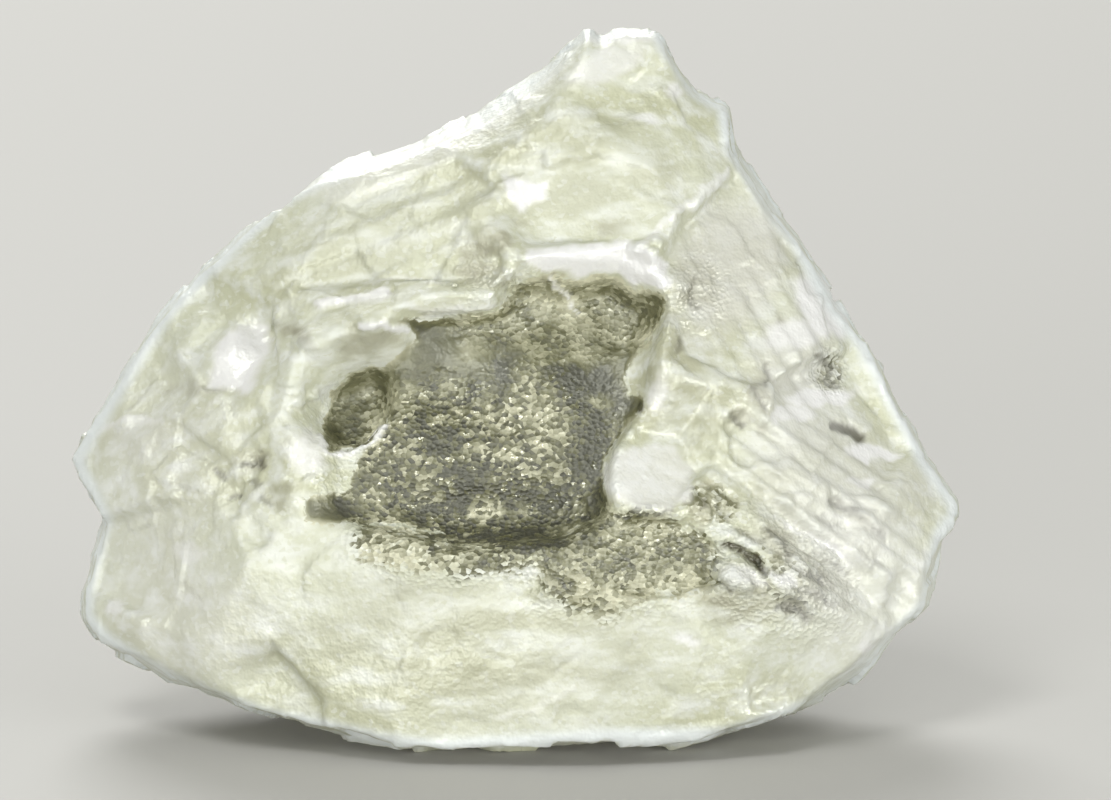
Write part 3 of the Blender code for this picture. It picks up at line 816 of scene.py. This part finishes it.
        Patch(-0.60, 1.50, 3.60, 1.30, 0, 0.34, 1.0),
        Patch(3.30, 6.60, 0.90, 1.20, 0, 0.40, 1.0),
        Patch(0.80, 11.00, 2.00, 1.30, 0, 0.24, 1.0),
        Patch(-3.40, 9.40, 1.60, 0.90, 25, 0.20, 1.0),
    ),
    Mark.BLUSH: (
        Patch(4.30, 9.10, 1.10, 1.50, -30, 0.75, 0.9),
        Patch(5.60, 7.20, 0.90, 1.00, 0, 0.55, 0.9),
        Patch(6.20, 4.60, 1.60, 1.40, -30, 0.55, 0.9),
        Patch(-7.60, 5.60, 0.80, 0.40, 10, 0.3, 0.9),
        Patch(-7.30, 3.50, 0.90, 0.60, 0, 0.1, 0.9),
        Patch(-2.70, 5.20, 0.40, 0.50, 0, 0.4, 0.9),
    ),
}
# The outline of the stone against the sheet, where its thin rim gets a painted glow.
RIM = (
    (1.46, 14.08), (1.78, 13.89), (2.15, 14.12), (2.92, 14.02), (3.08, 13.65), (3.73, 12.70),
    (4.30, 12.41), (4.40, 11.62), (5.17, 10.45), (5.74, 9.70), (6.43, 8.44), (7.10, 7.60),
    (7.87, 6.12), (8.33, 5.24), (8.96, 4.35), (8.98, 4.02), (8.66, 3.62), (8.50, 2.90),
    (8.43, 2.30), (7.32, 1.14), (6.30, 0.31), (5.51, 0.01), (4.28, -0.40), (2.01, -0.40),
    (0.65, -0.48), (-1.56, -0.62), (-2.80, -0.48), (-4.16, -0.17), (-4.95, -0.05),
    (-6.28, 0.37), (-7.20, 0.78), (-8.43, 1.55), (-8.78, 2.00), (-8.80, 2.50), (-8.41, 3.98),
    (-8.90, 4.95), (-9.00, 5.24), (-8.53, 6.05), (-7.26, 8.08), (-6.53, 8.89), (-4.82, 10.51),
    (-4.16, 10.91), (-3.02, 11.34), (-1.95, 11.66), (-0.73, 12.21), (0.34, 12.98),
    (1.46, 14.08),
)
# Ridges that catch the light.
# Ridges, raised in the relief, with painted highlights where they catch the light.
RIDGES = (
    Stroke(
        ((-3.98, 5.66), (-3.80, 5.34), (-3.25, 5.27), (-2.92, 5.48), (-2.66, 5.80)),
        0.11,
        0.07,
        0.85,
    ),
    Stroke(((0.76, 8.86), (0.98, 8.50), (1.28, 8.16)), 0.08, 0.06, 0.65),
    Stroke(((-3.95, 8.36), (-3.30, 8.42), (-2.60, 8.55)), 0.20, 0.06, 0.9),
    Stroke(((-3.10, 7.92), (-2.70, 7.90), (-2.25, 7.80)), 0.16, 0.06, 0.85),
    Stroke(((-2.30, 8.26), (-1.20, 8.30), (-0.45, 8.30)), 0.12, 0.05, 0.35),
    Stroke(((-3.00, 8.78), (-2.00, 8.80), (-1.50, 8.74)), 0.10, 0.04, 0.4),
    Stroke(((3.00, 10.02), (3.60, 10.40), (4.30, 11.00)), 0.14, 0.06, 0.5),
    Stroke(((2.35, 9.30), (2.75, 9.70), (3.00, 10.02)), 0.16, 0.05, 0.6),
    Stroke(((-8.55, 5.72), (-7.90, 5.92), (-7.10, 6.02)), 0.14, 0.05, 0.6),
    Stroke(((-6.90, 6.10), (-6.20, 6.15), (-5.90, 6.45)), 0.12, 0.04, 0.35),
    Stroke(((-0.30, 0.10), (0.50, 0.30), (1.10, 0.60)), 0.12, 0.04, 0.3),
)
# Slits, grooved in the relief, with painted shade in them.
SLITS = (
    Stroke(((5.02, 3.78), (5.25, 3.55), (5.42, 3.24)), 0.15, -0.05, 0.58),
    Stroke(((5.48, 3.12), (6.10, 2.72)), 0.14, -0.05, 0.52),
    Stroke(((6.00, 3.34), (6.60, 2.94)), 0.13, -0.05, 0.45),
    Stroke(((5.75, 2.62), (6.42, 2.34)), 0.13, -0.05, 0.48),
    Stroke(((6.32, 4.42), (6.62, 4.22), (6.92, 4.08)), 0.16, -0.05, 0.62),
    Stroke(((6.95, 3.95), (7.40, 3.66)), 0.14, -0.05, 0.52),
    Stroke(((6.92, 3.32), (7.32, 3.04)), 0.12, -0.04, 0.38),
    Stroke(((4.52, 3.82), (4.92, 3.56)), 0.13, -0.05, 0.52),
    Stroke(((6.10, 4.02), (6.50, 3.82)), 0.12, -0.04, 0.42),
    Stroke(((4.18, 3.48), (4.50, 3.40), (4.92, 3.02)), 0.13, -0.10, 1.0),
    Stroke(((5.30, 2.22), (5.62, 2.14), (5.80, 2.02)), 0.15, -0.08, 0.75),
    Stroke(((6.45, 5.86), (6.95, 5.56)), 0.24, -0.08, 0.9),
    Stroke(((4.80, 6.60), (4.95, 6.30)), 0.13, -0.05, 0.5),
    Stroke(((4.35, 6.08), (4.50, 5.92)), 0.14, -0.05, 0.6),
    Stroke(((6.15, 7.25), (6.30, 7.00)), 0.13, -0.05, 0.6),
    Stroke(((6.28, 6.85), (6.45, 6.72)), 0.13, -0.05, 0.6),
    Stroke(((3.30, 7.62), (3.26, 7.30)), 0.12, -0.05, 0.5),
    Stroke(((3.52, 8.60), (3.62, 8.28)), 0.11, -0.05, 0.5),
    Stroke(((5.02, 7.15), (5.02, 6.70)), 0.09, -0.06, 0.55),
    Stroke(((4.10, 2.78), (4.25, 2.62)), 0.10, -0.06, 0.7),
    Stroke(((0.75, 2.92), (1.15, 2.72)), 0.12, -0.06, 0.7),
    Stroke(((2.00, 2.60), (2.60, 2.62)), 0.08, -0.04, 0.6),
    Stroke(((2.05, 4.02), (2.60, 4.12), (3.00, 4.20)), 0.10, -0.05, 0.55),
    Stroke(((-5.42, 5.10), (-5.25, 5.22), (-5.08, 5.10)), 0.13, -0.03, 0.75),
    Stroke(((-6.00, 4.90), (-5.82, 4.80)), 0.12, -0.03, 0.65),
    Stroke(((-5.75, 4.42), (-5.60, 4.50), (-5.45, 4.44)), 0.12, -0.03, 0.7),
    Stroke(((-5.08, 4.42), (-4.90, 4.36)), 0.12, -0.03, 0.5),
    Stroke(((-5.30, 4.78), (-5.12, 4.70)), 0.10, -0.03, 0.5),
    Stroke(((3.55, 8.85), (3.60, 8.35)), 0.07, -0.04, 0.45),
    Stroke(((4.02, 4.20), (4.28, 4.00)), 0.10, -0.05, 0.5),
    Stroke(((3.80, 4.62), (3.72, 4.25)), 0.09, -0.04, 0.45),
)
# Growth lines on the flank, the shoulder, the brow and the left.
LINES = (
    Lines(Patch(5.90, 4.10, 2.70, 1.70, -37, 1.0, 0.8), -36, 0.36, 0.058),
    Lines(Patch(-1.70, 9.90, 3.20, 1.10, 22, 1.0, 0.9), 24, 0.52, 0.035),
    Lines(Patch(-1.60, 8.55, 2.00, 0.45, 2, 1.0, 0.8), 2, 0.24, 0.030),
    Lines(Patch(5.60, 7.60, 1.40, 1.80, 0, 1.0, 0.8), -58, 0.42, 0.045),
    Lines(Patch(-6.60, 7.10, 1.60, 1.60, 50, 0.8, 0.9), 50, 0.60, 0.030),
)
# Where broken facets and chips show in the relief, and how strongly.
HACKLES = (
    Patch(-4.15, 6.30, 0.70, 1.60, 0, 0.6, 0.8),
    Patch(5.90, 5.40, 2.20, 3.90, 22, 0.35, 0.6),
    Patch(-1.60, 9.30, 3.20, 1.10, 8, 0.20, 0.8),
    Patch(1.80, 12.60, 1.60, 1.20, 0, 0.5, 0.8),
    Patch(-6.60, 4.60, 1.80, 1.60, 0, 0.5, 0.8),
    Patch(2.20, 3.00, 2.20, 1.00, 0, 0.9, 0.8),
)


class Points:
    """The points of a mesh as arrays in millimetres, for sculpting."""

    THREE_WAYS = (math.radians(98), math.radians(218), math.radians(338))
    PULL = 0.5  # how far one smoothing moves a point to the mean of its neighbours
    OCTAVE_FALL = 1.0  # how fast the finer octaves of noise fade
    OCTAVE_STEP = 2.0  # how much finer each of them is
    LEAN_SPREAD = 7.3  # sets the leans of two facets side by side apart
    LEAN_GAIN = 2.0
    STEP_COUNT = 5.0  # growth steps for each size mm out from the middle
    TREAD = 0.80  # how much of a step is level
    GRAIN_SPREAD = 5.1  # sets the heights of two grains side by side apart
    GRAIN_DOME = 0.6  # how much a grain rises from its edge to its middle
    BLUR = 0.6  # how far one smoothing blurs the surroundings

    def __init__(self, mesh: bpy.types.Mesh) -> None:
        """Reads the places and the edges of a mesh.

        Args:
            mesh: The mesh, in metres.
        """
        self.mesh = mesh
        count = len(mesh.vertices)
        flat = np.empty(count * 3)
        mesh.vertices.foreach_get("co", flat)
        self.places = flat.reshape(count, 3) / MM
        ends = np.empty(len(mesh.edges) * 2, dtype=np.int64)
        mesh.edges.foreach_get("vertices", ends)
        self.ends = ends.reshape(-1, 2)
        self.degree = np.bincount(self.ends.ravel(), minlength=count)[:, None]

    def neighbours(self, values: np.ndarray) -> np.ndarray:
        """Gives the mean of each point's neighbours.

        Args:
            values: One row for each point.

        Returns:
            The means, one row for each point.
        """
        first, second = self.ends.T
        columns = [
            np.bincount(first, column[second], minlength=len(values))
            + np.bincount(second, column[first], minlength=len(values))
            for column in values.T
        ]
        return np.stack(columns, axis=1) / self.degree

    def relax(self, rounds: int, share: np.ndarray | float) -> None:
        """Smooths the places.

        Args:
            rounds: How often.
            share: How much each point takes part, from 0 to 1.
        """
        share = self.PULL * np.broadcast_to(share, len(self.places))[:, None]
        for _ in range(rounds):
            self.places = (1 - share) * self.places + share * self.neighbours(self.places)

    def normals(self) -> np.ndarray:
        """Gives the way each point faces.

        Returns:
            A unit vector for each point, one row each.
        """
        self.mesh.vertices.foreach_set("co", (self.places * MM).ravel())
        self.mesh.update()
        flat = np.empty(len(self.places) * 3)
        self.mesh.vertex_normals.foreach_get("vector", flat)
        return flat.reshape(-1, 3)

    def noise(self, size: float, octaves: int, shift: float = 0.0) -> np.ndarray:
        """Gives smooth noise.

        Args:
            size: How wide its features are, in mm.
            octaves: How many sizes of it are laid over one another.
            shift: Where in the endless noise it is read.

        Returns:
            A value from about -1 to 1 for each point.
        """
        start = Vector((shift, shift, shift))
        kind = (self.OCTAVE_FALL, self.OCTAVE_STEP, octaves)
        return np.array([noise.fractal(Vector(p) / size + start, *kind) for p in self.places])

    def facets(self, size: float, slope: float) -> np.ndarray:
        """Gives the height of small broken facets.

        Args:
            size: How far apart their middles are, in mm.
            slope: How steep the steepest of them is.

        Returns:
            The height of each point, in mm.
        """
        heights = np.empty(len(self.places))
        for k, place in enumerate(self.places):
            spot = Vector(place) / size
            middle = noise.voronoi(spot)[1][0]
            heights[k] = (spot - middle).dot(noise.noise_vector(middle * self.LEAN_SPREAD))
        return heights * size * slope * self.LEAN_GAIN

    def steps(self, size: float, across: np.ndarray, up: np.ndarray) -> np.ndarray:
        """Gives three-sided growth steps, as on the faces of an octahedron.

        Args:
            size: How far apart the middles of the terraces are, in mm.
            across: One way along the face, as a unit vector.
            up: The other.

        Returns:
            The height of each point, in steps.
        """
        offsets = np.empty(self.places.shape)
        for k, place in enumerate(self.places):
            spot = Vector(place) / size
            offsets[k] = spot - noise.voronoi(spot)[1][0]
        ways = [math.cos(turn) * across + math.sin(turn) * up for turn in self.THREE_WAYS]
        rise = np.max([offsets @ way for way in ways], axis=0) * self.STEP_COUNT
        level = np.floor(rise)
        return level + smooth_step(rise - level, self.TREAD, 1.0)

    def grains(self, size: float) -> np.ndarray:
        """Gives the height of etched grains.

        Args:
            size: How wide a grain is, in mm.

        Returns:
            The height of each point, from about -1 to 1.
        """
        heights = np.empty(len(self.places))
        for k, place in enumerate(self.places):
            distances, middles = noise.voronoi(Vector(place) / size)
            dome = self.GRAIN_DOME * (distances[1] - distances[0])
            heights[k] = noise.noise(middles[0] * self.GRAIN_SPREAD) + dome
        return heights

    def depth(self, rounds: int) -> np.ndarray:
        """Tells how deep each point lies under its smoothed surroundings.

        Args:
            rounds: How often they are smoothed.

        Returns:
            The depth of each point, in mm.
        """
        smoothed = self.places.copy()
        for _ in range(rounds):
            smoothed = (1 - self.BLUR) * smoothed + self.BLUR * self.neighbours(smoothed)
        return np.einsum("ij,ij->i", smoothed - self.places, self.normals())

    def settle(self, box: tuple[Vector, Vector]) -> None:
        """Keeps the points inside a box, given in metres."""
        low, high = (np.array(corner) / MM for corner in box)
        self.places = np.clip(self.places, low, high)

    def write(self, marks: dict[Mark, np.ndarray]) -> None:
        """Puts the places and the marks on the mesh.

        Args:
            marks: The marks of each point.
        """
        self.mesh.vertices.foreach_set("co", (self.places * MM).ravel())
        for mark, values in marks.items():
            layer = self.mesh.attributes.new(mark.value, "FLOAT", "POINT")
            layer.data.foreach_set("value", values.astype(np.float32))
        self.mesh.shade_smooth()
        self.mesh.update()


@dataclass
class Spots:
    """Where the mesh's points lie on the sheet, and how squarely they face front."""

    right: np.ndarray
    up: np.ndarray
    front: np.ndarray
    wander: np.ndarray  # how far the marks' edges stray to the right there
    stray: np.ndarray  # and upwards

    @property
    def behind(self) -> np.ndarray:
        """Tells how far each point is behind."""
        return 1 - self.front

    def cover(self, patch: Patch | Outline | Stroke) -> np.ndarray:
        """Tells how far each point is inside a patch whose edge wanders."""
        return patch.cover(self.right + self.wander, self.up + self.stray)


@dataclass
class Stone:
    """The rough diamond itself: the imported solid, with its fine relief sculpted on it."""

    name: str = "rough_diamond_surface"
    seed: int = 1  # which way the broken facets lean; without one they would change each run
    merge: float = 1e-4  # mm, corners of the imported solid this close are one
    cell: float = 0.154  # mm, behind; half of that in front
    fine_from: float = -0.25  # how squarely a face looks front to get the finer cells
    hold: float = 0.9  # how closely the cells keep to the solid
    sheet: Sheet = field(default_factory=Sheet)
    finish: FrostedDiamond = field(default_factory=FrostedDiamond)
    rounding: float = 0.6  # a first smoothing of the cells
    mouth_rounds: int = 70  # how often the window's walls and the worn cuts are smoothed
    worn_rounds: int = 60
    softening: float = 0.25  # a last smoothing of the relief
    worn_front: tuple[float, float] = (-0.05, 0.15)  # from behind to front, as a cosine
    marked_front: tuple[float, float] = (0.02, 0.22)
    # how squarely the rim faces front to get its painted glow
    rim_front: tuple[float, float] = (0.05, 0.35)
    warp: float = 0.13  # mm, how far the patches' edges wander
    warp_size: float = 0.55
    stray_shift: float = 31.7  # where in the noise the upward part is read
    octaves: int = 3
    swell: float = 0.05
    swell_size: float = 2.2
    swell_octaves: int = 2
    facet_slope: float = 0.13
    facet_size: float = 1.1
    facet_least: float = 0.25  # what shows of the facets where nothing is broken
    facet_behind: float = 0.4
    chip_slope: float = 0.15
    chip_size: float = 0.42
    chip_behind: float = 0.5
    hackle_front: float = 0.15  # how broken the skin is where no patch says more
    hackle_behind: float = 0.5
    # the relief under the painted highlights
    painted_highlight_calm: float = 0.85  # how much smoother the fresh facets are
    step_height: float = 0.032
    step_size: float = 2.3
    step_least: float = 0.3
    straight: float = 0.8  # how much straighter the growth lines run than the marks' edges
    grain_height: float = 0.035
    grain_size: float = 0.24
    hollow_depth: float = 0.16  # the etched hollows behind
    hollow_size: float = 2.6
    hollow_shift: float = 77.1
    hollow_noise: tuple[float, float] = (0.25, 0.70)
    hollow_stain: float = 0.7
    blush_noise: tuple[float, float] = (0.0, 0.06)
    blush_behind: float = 0.5
    foot: tuple[float, float] = (-0.25, -0.05)  # the ridges fade this near the floor
    depth_rounds: int = 12  # how wide a neighbourhood tells ridges from hollows
    # the painted glow on raised ridges: how raised they are, and how strong it is
    ridge_height: tuple[float, float] = (0.02, 0.08)
    ridge_glow: float = 0.3
    # how wide the rim's painted glow is
    rim_width: tuple[float, float] = (0.12, 0.40)
    # painted shade in the dips, by how deep they lie under their surroundings
    dip_depth: tuple[float, float] = (0.020, 0.080)
    dip_painted_shade: float = 0.18

    def build(self) -> bpy.types.Object:
        """Grows, sculpts and dresses the stone.

        Returns:
            The stone, in place.
        """
        noise.seed_set(self.seed)
        stone = self._grow()
        self._sculpt(stone.data)
        stone.data.materials.append(self.finish.material())
        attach(stone, BODY)
        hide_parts(NODE)
        return stone

    def _grow(self) -> bpy.types.Object:
        """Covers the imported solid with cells, fine in front and coarser behind.

        Returns:
            The stone's object, with its mesh in metres.
        """
        bm = bmesh.new()
        bm.from_mesh(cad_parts[NODE].data)
        bmesh.ops.remove_doubles(bm, verts=bm.verts, dist=self.merge * MM)
        bmesh.ops.scale(bm, vec=(1 / MM,) * 3, verts=bm.verts)
        solid = BVHTree.FromBMesh(bm)
        blank_mesh = bpy.data.meshes.new("blank")
        bm.to_mesh(blank_mesh)
        blank = bpy.data.objects.new("blank", blank_mesh)
        bpy.context.scene.collection.objects.link(blank)
        cells = blank.modifiers.new("cells", "REMESH")
        cells.mode = "VOXEL"
        cells.voxel_size = self.cell
        shown = blank.evaluated_get(bpy.context.evaluated_depsgraph_get())
        bm.clear()
        bm.from_mesh(shown.data)
        bpy.data.objects.remove(blank)
        bm.normal_update()
        towards = self.sheet.place(0, 0, -1)
        fine = {face for face in bm.faces if face.normal.dot(towards) > self.fine_from}
        edges = [edge for edge in bm.edges if not fine.isdisjoint(edge.link_faces)]
        bmesh.ops.subdivide_edges(bm, edges=edges, cuts=1, use_grid_fill=True)
        for vert in bm.verts:
            nearest = solid.find_nearest(vert.co)[0]
            vert.co = vert.co.lerp(nearest, self.hold)
        bmesh.ops.scale(bm, vec=(MM,) * 3, verts=bm.verts)
        mesh = bpy.data.meshes.new(self.name)
        bm.to_mesh(mesh)
        bm.free()
        stone = bpy.data.objects.new(self.name, mesh)
        bpy.context.scene.collection.objects.link(stone)
        return stone

    def _sculpt(self, mesh: bpy.types.Mesh) -> None:
        """Moves the mesh's points to give the fine relief, and marks it for the finish.

        Args:
            mesh: The stone's mesh, which changes.
        """
        points = Points(mesh)
        towards = np.array(self.sheet.place(0, 0, -1))
        self._wear(points, towards)
        right, up, _ = self.sheet.spots(points.places)
        spots = Spots(
            right,
            up,
            smooth_step(points.normals() @ towards, *self.marked_front),
            self.warp * points.noise(self.warp_size, self.octaves),
            self.warp * points.noise(self.warp_size, self.octaves, self.stray_shift),
        )
        height = self.swell * points.noise(self.swell_size, self.swell_octaves)
        marks = self._mark(spots, height)
        hollows = points.noise(self.hollow_size, self.octaves, self.hollow_shift)
        shaded = smooth_step(hollows, *self.hollow_noise) * spots.behind
        self._mark_behind(spots, shaded, marks)
        self._roughen(points, spots, marks, height)
        height -= self.hollow_depth * shaded
        right = spots.right + spots.wander - self.straight * spots.wander
        up = spots.up + spots.stray - self.straight * spots.stray
        for lines in LINES:
            height += lines.rise(right, up) * spots.front
        points.places += points.normals() * height[:, None]
        points.relax(1, self.softening)
        points.settle(CAD_BOX)
        self._mark_edges(points, towards, marks)
        points.write(marks)

    def _wear(self, points: Points, towards: np.ndarray) -> None:
        """Wears the solid's cuts down and raises what stands higher than they leave it.

        Args:
            points: The mesh's points, which move.
            towards: The way the face looks, as a unit vector.
        """
        points.relax(1, self.rounding)
        right, up, _ = self.sheet.spots(points.places)
        front = smooth_step(points.normals() @ towards, *self.worn_front)
        mouth = MOUTH.cover(right, up) * front
        for patch in CRISP:
            mouth = mouth * (1 - patch.cover(right, up))
        points.relax(self.mouth_rounds, mouth)
        worn = sum(patch.cover(right, up) for patch in WORN) * front
        points.relax(self.worn_rounds, worn)
        bridge = sum(patch.cover(right, up) for patch in BRIDGES) * front
        points.places += towards * bridge[:, None]

    def _mark(self, spots: Spots, height: np.ndarray) -> dict[Mark, np.ndarray]:
        """Marks the front, and adds its ridges and slits to the relief.

        Args:
            spots: Where the points lie.
            height: The height of each point, in mm, which changes.

        Returns:
            The marks of each point.
        """
        marks = {mark: np.zeros(len(height)) for mark in Mark}
        for mark, covers in COVERS.items():
            for cover in covers:
                marks[mark] = np.maximum(marks[mark], spots.cover(cover))
        # ridges get painted highlights, and slits get painted shade
        for mark, strokes in ((Mark.PAINTED_HIGHLIGHT, RIDGES), (Mark.DARK, SLITS)):
            for stroke in strokes:
                drawn = spots.cover(stroke) * spots.front
                marks[mark] = np.maximum(marks[mark], drawn)
                height += stroke.height * drawn
        return {mark: values * spots.front for mark, values in marks.items()}

    def _mark_behind(
        self, spots: Spots, shaded: np.ndarray, marks: dict[Mark, np.ndarray]
    ) -> None:
        """Marks the etched hollows behind, and the blush between them.

        Args:
            spots: Where the points lie.
            shaded: How far each point is in a hollow.
            marks: The marks of each point, which change.
        """
        blush = smooth_step(spots.stray, *self.blush_noise) * spots.behind * self.blush_behind
        for mark, values in (
            (Mark.GRAIN, shaded),
            (Mark.STAIN_AND_SHADE, self.hollow_stain * shaded),
            (Mark.BLUSH, blush),
        ):
            marks[mark] = np.maximum(marks[mark], values)

    def _roughen(
        self,
        points: Points,
        spots: Spots,
        marks: dict[Mark, np.ndarray],
        height: np.ndarray,
    ) -> None:
        """Adds broken facets, chips, growth steps and etch grain to the relief.

        Args:
            points: The mesh's points.
            spots: Where they lie.
            marks: The marks of each point.
            height: The height of each point, in mm, which changes.
        """
        behind = spots.behind
        hackle = self.hackle_front * spots.front + self.hackle_behind * behind
        for patch in HACKLES:
            hackle = np.maximum(hackle, spots.cover(patch) * spots.front)
        hackle = hackle * (1 - marks[Mark.WINDOW]) * (1 - self.painted_highlight_calm * marks[Mark.PAINTED_HIGHLIGHT])
        shown = self.facet_least + (1 - self.facet_least) * hackle + self.facet_behind * behind
        height += points.facets(self.facet_size, self.facet_slope) * shown
        chips = points.facets(self.chip_size, self.chip_slope)
        height += chips * hackle * (1 - self.chip_behind * behind)
        level = np.array(self.sheet.place(0, 1, 0))
        steps = points.steps(self.step_size, np.array((1.0, 0.0, 0.0)), level)
        shown = self.step_least + (1 - self.step_least) * hackle
        height += self.step_height * steps * shown
        height += self.grain_height * points.grains(self.grain_size) * marks[Mark.GRAIN]

    def _mark_edges(
        self, points: Points, towards: np.ndarray, marks: dict[Mark, np.ndarray]
    ) -> None:
        """Paints a glow on the thin rim and the raised ridges, and paints shade in the dips.

        Args:
            points: The mesh's points, in their last places.
            towards: The way the face looks, as a unit vector.
            marks: The marks of each point, which change.
        """
        flat = smooth_step(-points.places[:, 2], *self.foot)
        raised = -points.depth(self.depth_rounds)
        facing = smooth_step(points.normals() @ towards, *self.rim_front)
        right, up, _ = self.sheet.spots(points.places)
        # painted glow: a band along the outline, and the raised ridges
        rim = 1 - smooth_step(gap_to(RIM, right, up), *self.rim_width)
        painted_glow = smooth_step(raised, *self.ridge_height) * self.ridge_glow
        painted_glow = np.maximum(painted_glow, rim * facing)
        marks[Mark.PAINTED_GLOW] = painted_glow * (1 - marks[Mark.WINDOW]) * (1 - flat)
        # painted shade: darker where the surface lies in a dip
        dip = smooth_step(-raised, *self.dip_depth) * (1 - marks[Mark.WINDOW])
        marks[Mark.STAIN_AND_SHADE] = np.maximum(marks[Mark.STAIN_AND_SHADE], self.dip_painted_shade * dip)


@dataclass(frozen=True)
class Lamp:
    """A soft square lamp: its place and its side in metres, and its power in watts."""

    name: str
    place: tuple[float, float, float]
    side: float
    power: float


@dataclass
class Studio:
    """The plain pale floor and the soft light that the stone is looked at in."""

    floor_size: float = 1.2  # metres
    floor_gap: float = 0.01  # mm, just clear of the stone
    floor: str = "A9A8A4"
    floor_rough: float = 0.7
    world: str = "EEEFEA"
    world_strength: float = 0.60
    aim_height: float = 7.0  # mm, the middle of the stone
    lamps: tuple[Lamp, ...] = (
        Lamp("key", (-0.12, -0.14, 0.30), 0.12, 0.46),
        Lamp("fill", (-0.10, -0.32, 0.01), 0.20, 1.45),
        Lamp("side", (0.25, -0.20, 0.00), 0.16, 1.40),
        Lamp("rim", (-0.05, 0.26, 0.20), 0.16, 0.7),
    )

    def build(self) -> None:
        """Makes the floor, the world's light and the lamps."""
        self._lay_floor()
        self._light_world()
        for lamp in self.lamps:
            self._hang(lamp)

    def _lay_floor(self) -> None:
        """Lays the floor under the stone."""
        bm = bmesh.new()
        bmesh.ops.create_grid(bm, x_segments=1, y_segments=1, size=self.floor_size / 2)
        bmesh.ops.translate(bm, verts=bm.verts, vec=(0, 0, -self.floor_gap * MM))
        mesh = bpy.data.meshes.new("floor")
        bm.to_mesh(mesh)
        bm.free()
        floor = bpy.data.objects.new("floor", mesh)
        bpy.context.scene.collection.objects.link(floor)
        finish = bpy.data.materials.new("floor_paint")
        finish.use_nodes = True
        shader = finish.node_tree.nodes["Principled BSDF"]
        shader.inputs["Base Color"].default_value = linear(self.floor)
        shader.inputs["Roughness"].default_value = self.floor_rough
        mesh.materials.append(finish)

    def _light_world(self) -> None:
        """Fills the room with even, slightly cool light."""
        world = bpy.data.worlds.new("studio")
        world.use_nodes = True
        back = world.node_tree.nodes["Background"]
        back.inputs["Color"].default_value = linear(self.world)
        back.inputs["Strength"].default_value = self.world_strength
        bpy.context.scene.world = world

    def _hang(self, lamp: Lamp) -> None:
        """Hangs a lamp that faces the middle of the stone.

        Args:
            lamp: The lamp.
        """
        light = bpy.data.lights.new(lamp.name, "AREA")
        light.size = lamp.side
        light.energy = lamp.power
        hung = bpy.data.objects.new(lamp.name, light)
        hung.location = lamp.place
        hung.rotation_mode = "QUATERNION"
        aim = Vector((0, 0, self.aim_height * MM)) - Vector(lamp.place)
        hung.rotation_quaternion = aim.to_track_quat("-Z", "Y")
        bpy.context.scene.collection.objects.link(hung)


@dataclass
class Camera:
    """The camera, which looks square at the sheet of the stone's face."""

    lens: float = 400.0
    sensor: float = 36.0
    view_width: float = 22.52  # mm, how much of the sheet fits across the view
    aim: tuple[float, float, float] = (0.80, 6.40, -0.3)  # mm on the sheet, the middle of the view
    reach: float = 10.0  # metres, how far it sees
    sheet: Sheet = field(default_factory=Sheet)

    def build(self) -> None:
        """Places the camera and makes it the scene's own."""
        data = bpy.data.cameras.new("camera")
        data.lens, data.sensor_width = self.lens, self.sensor
        data.clip_start, data.clip_end = MM, self.reach
        camera = bpy.data.objects.new("camera", data)
        distance = self.lens * self.view_width / self.sensor
        right, up, away = self.aim
        camera.location = self.sheet.place(right, up, away - distance) * MM
        camera.rotation_euler = (math.pi / 2 - self.sheet.lean, 0.0, 0.0)
        bpy.context.scene.collection.objects.link(camera)
        bpy.context.scene.camera = camera


def main() -> None:
    """Builds the stone and what it is looked at with."""
    logging.basicConfig(level=logging.INFO, format="%(name)s: %(message)s")
    bpy.context.scene.view_settings.view_transform = "Standard"
    Studio().build()
    log.info("studio lit")
    Camera().build()
    log.info("camera placed")
    stone = Stone().build()
    log.info("stone sculpted, %d faces", len(stone.data.polygons))


if __name__ == "__main__":
    main()
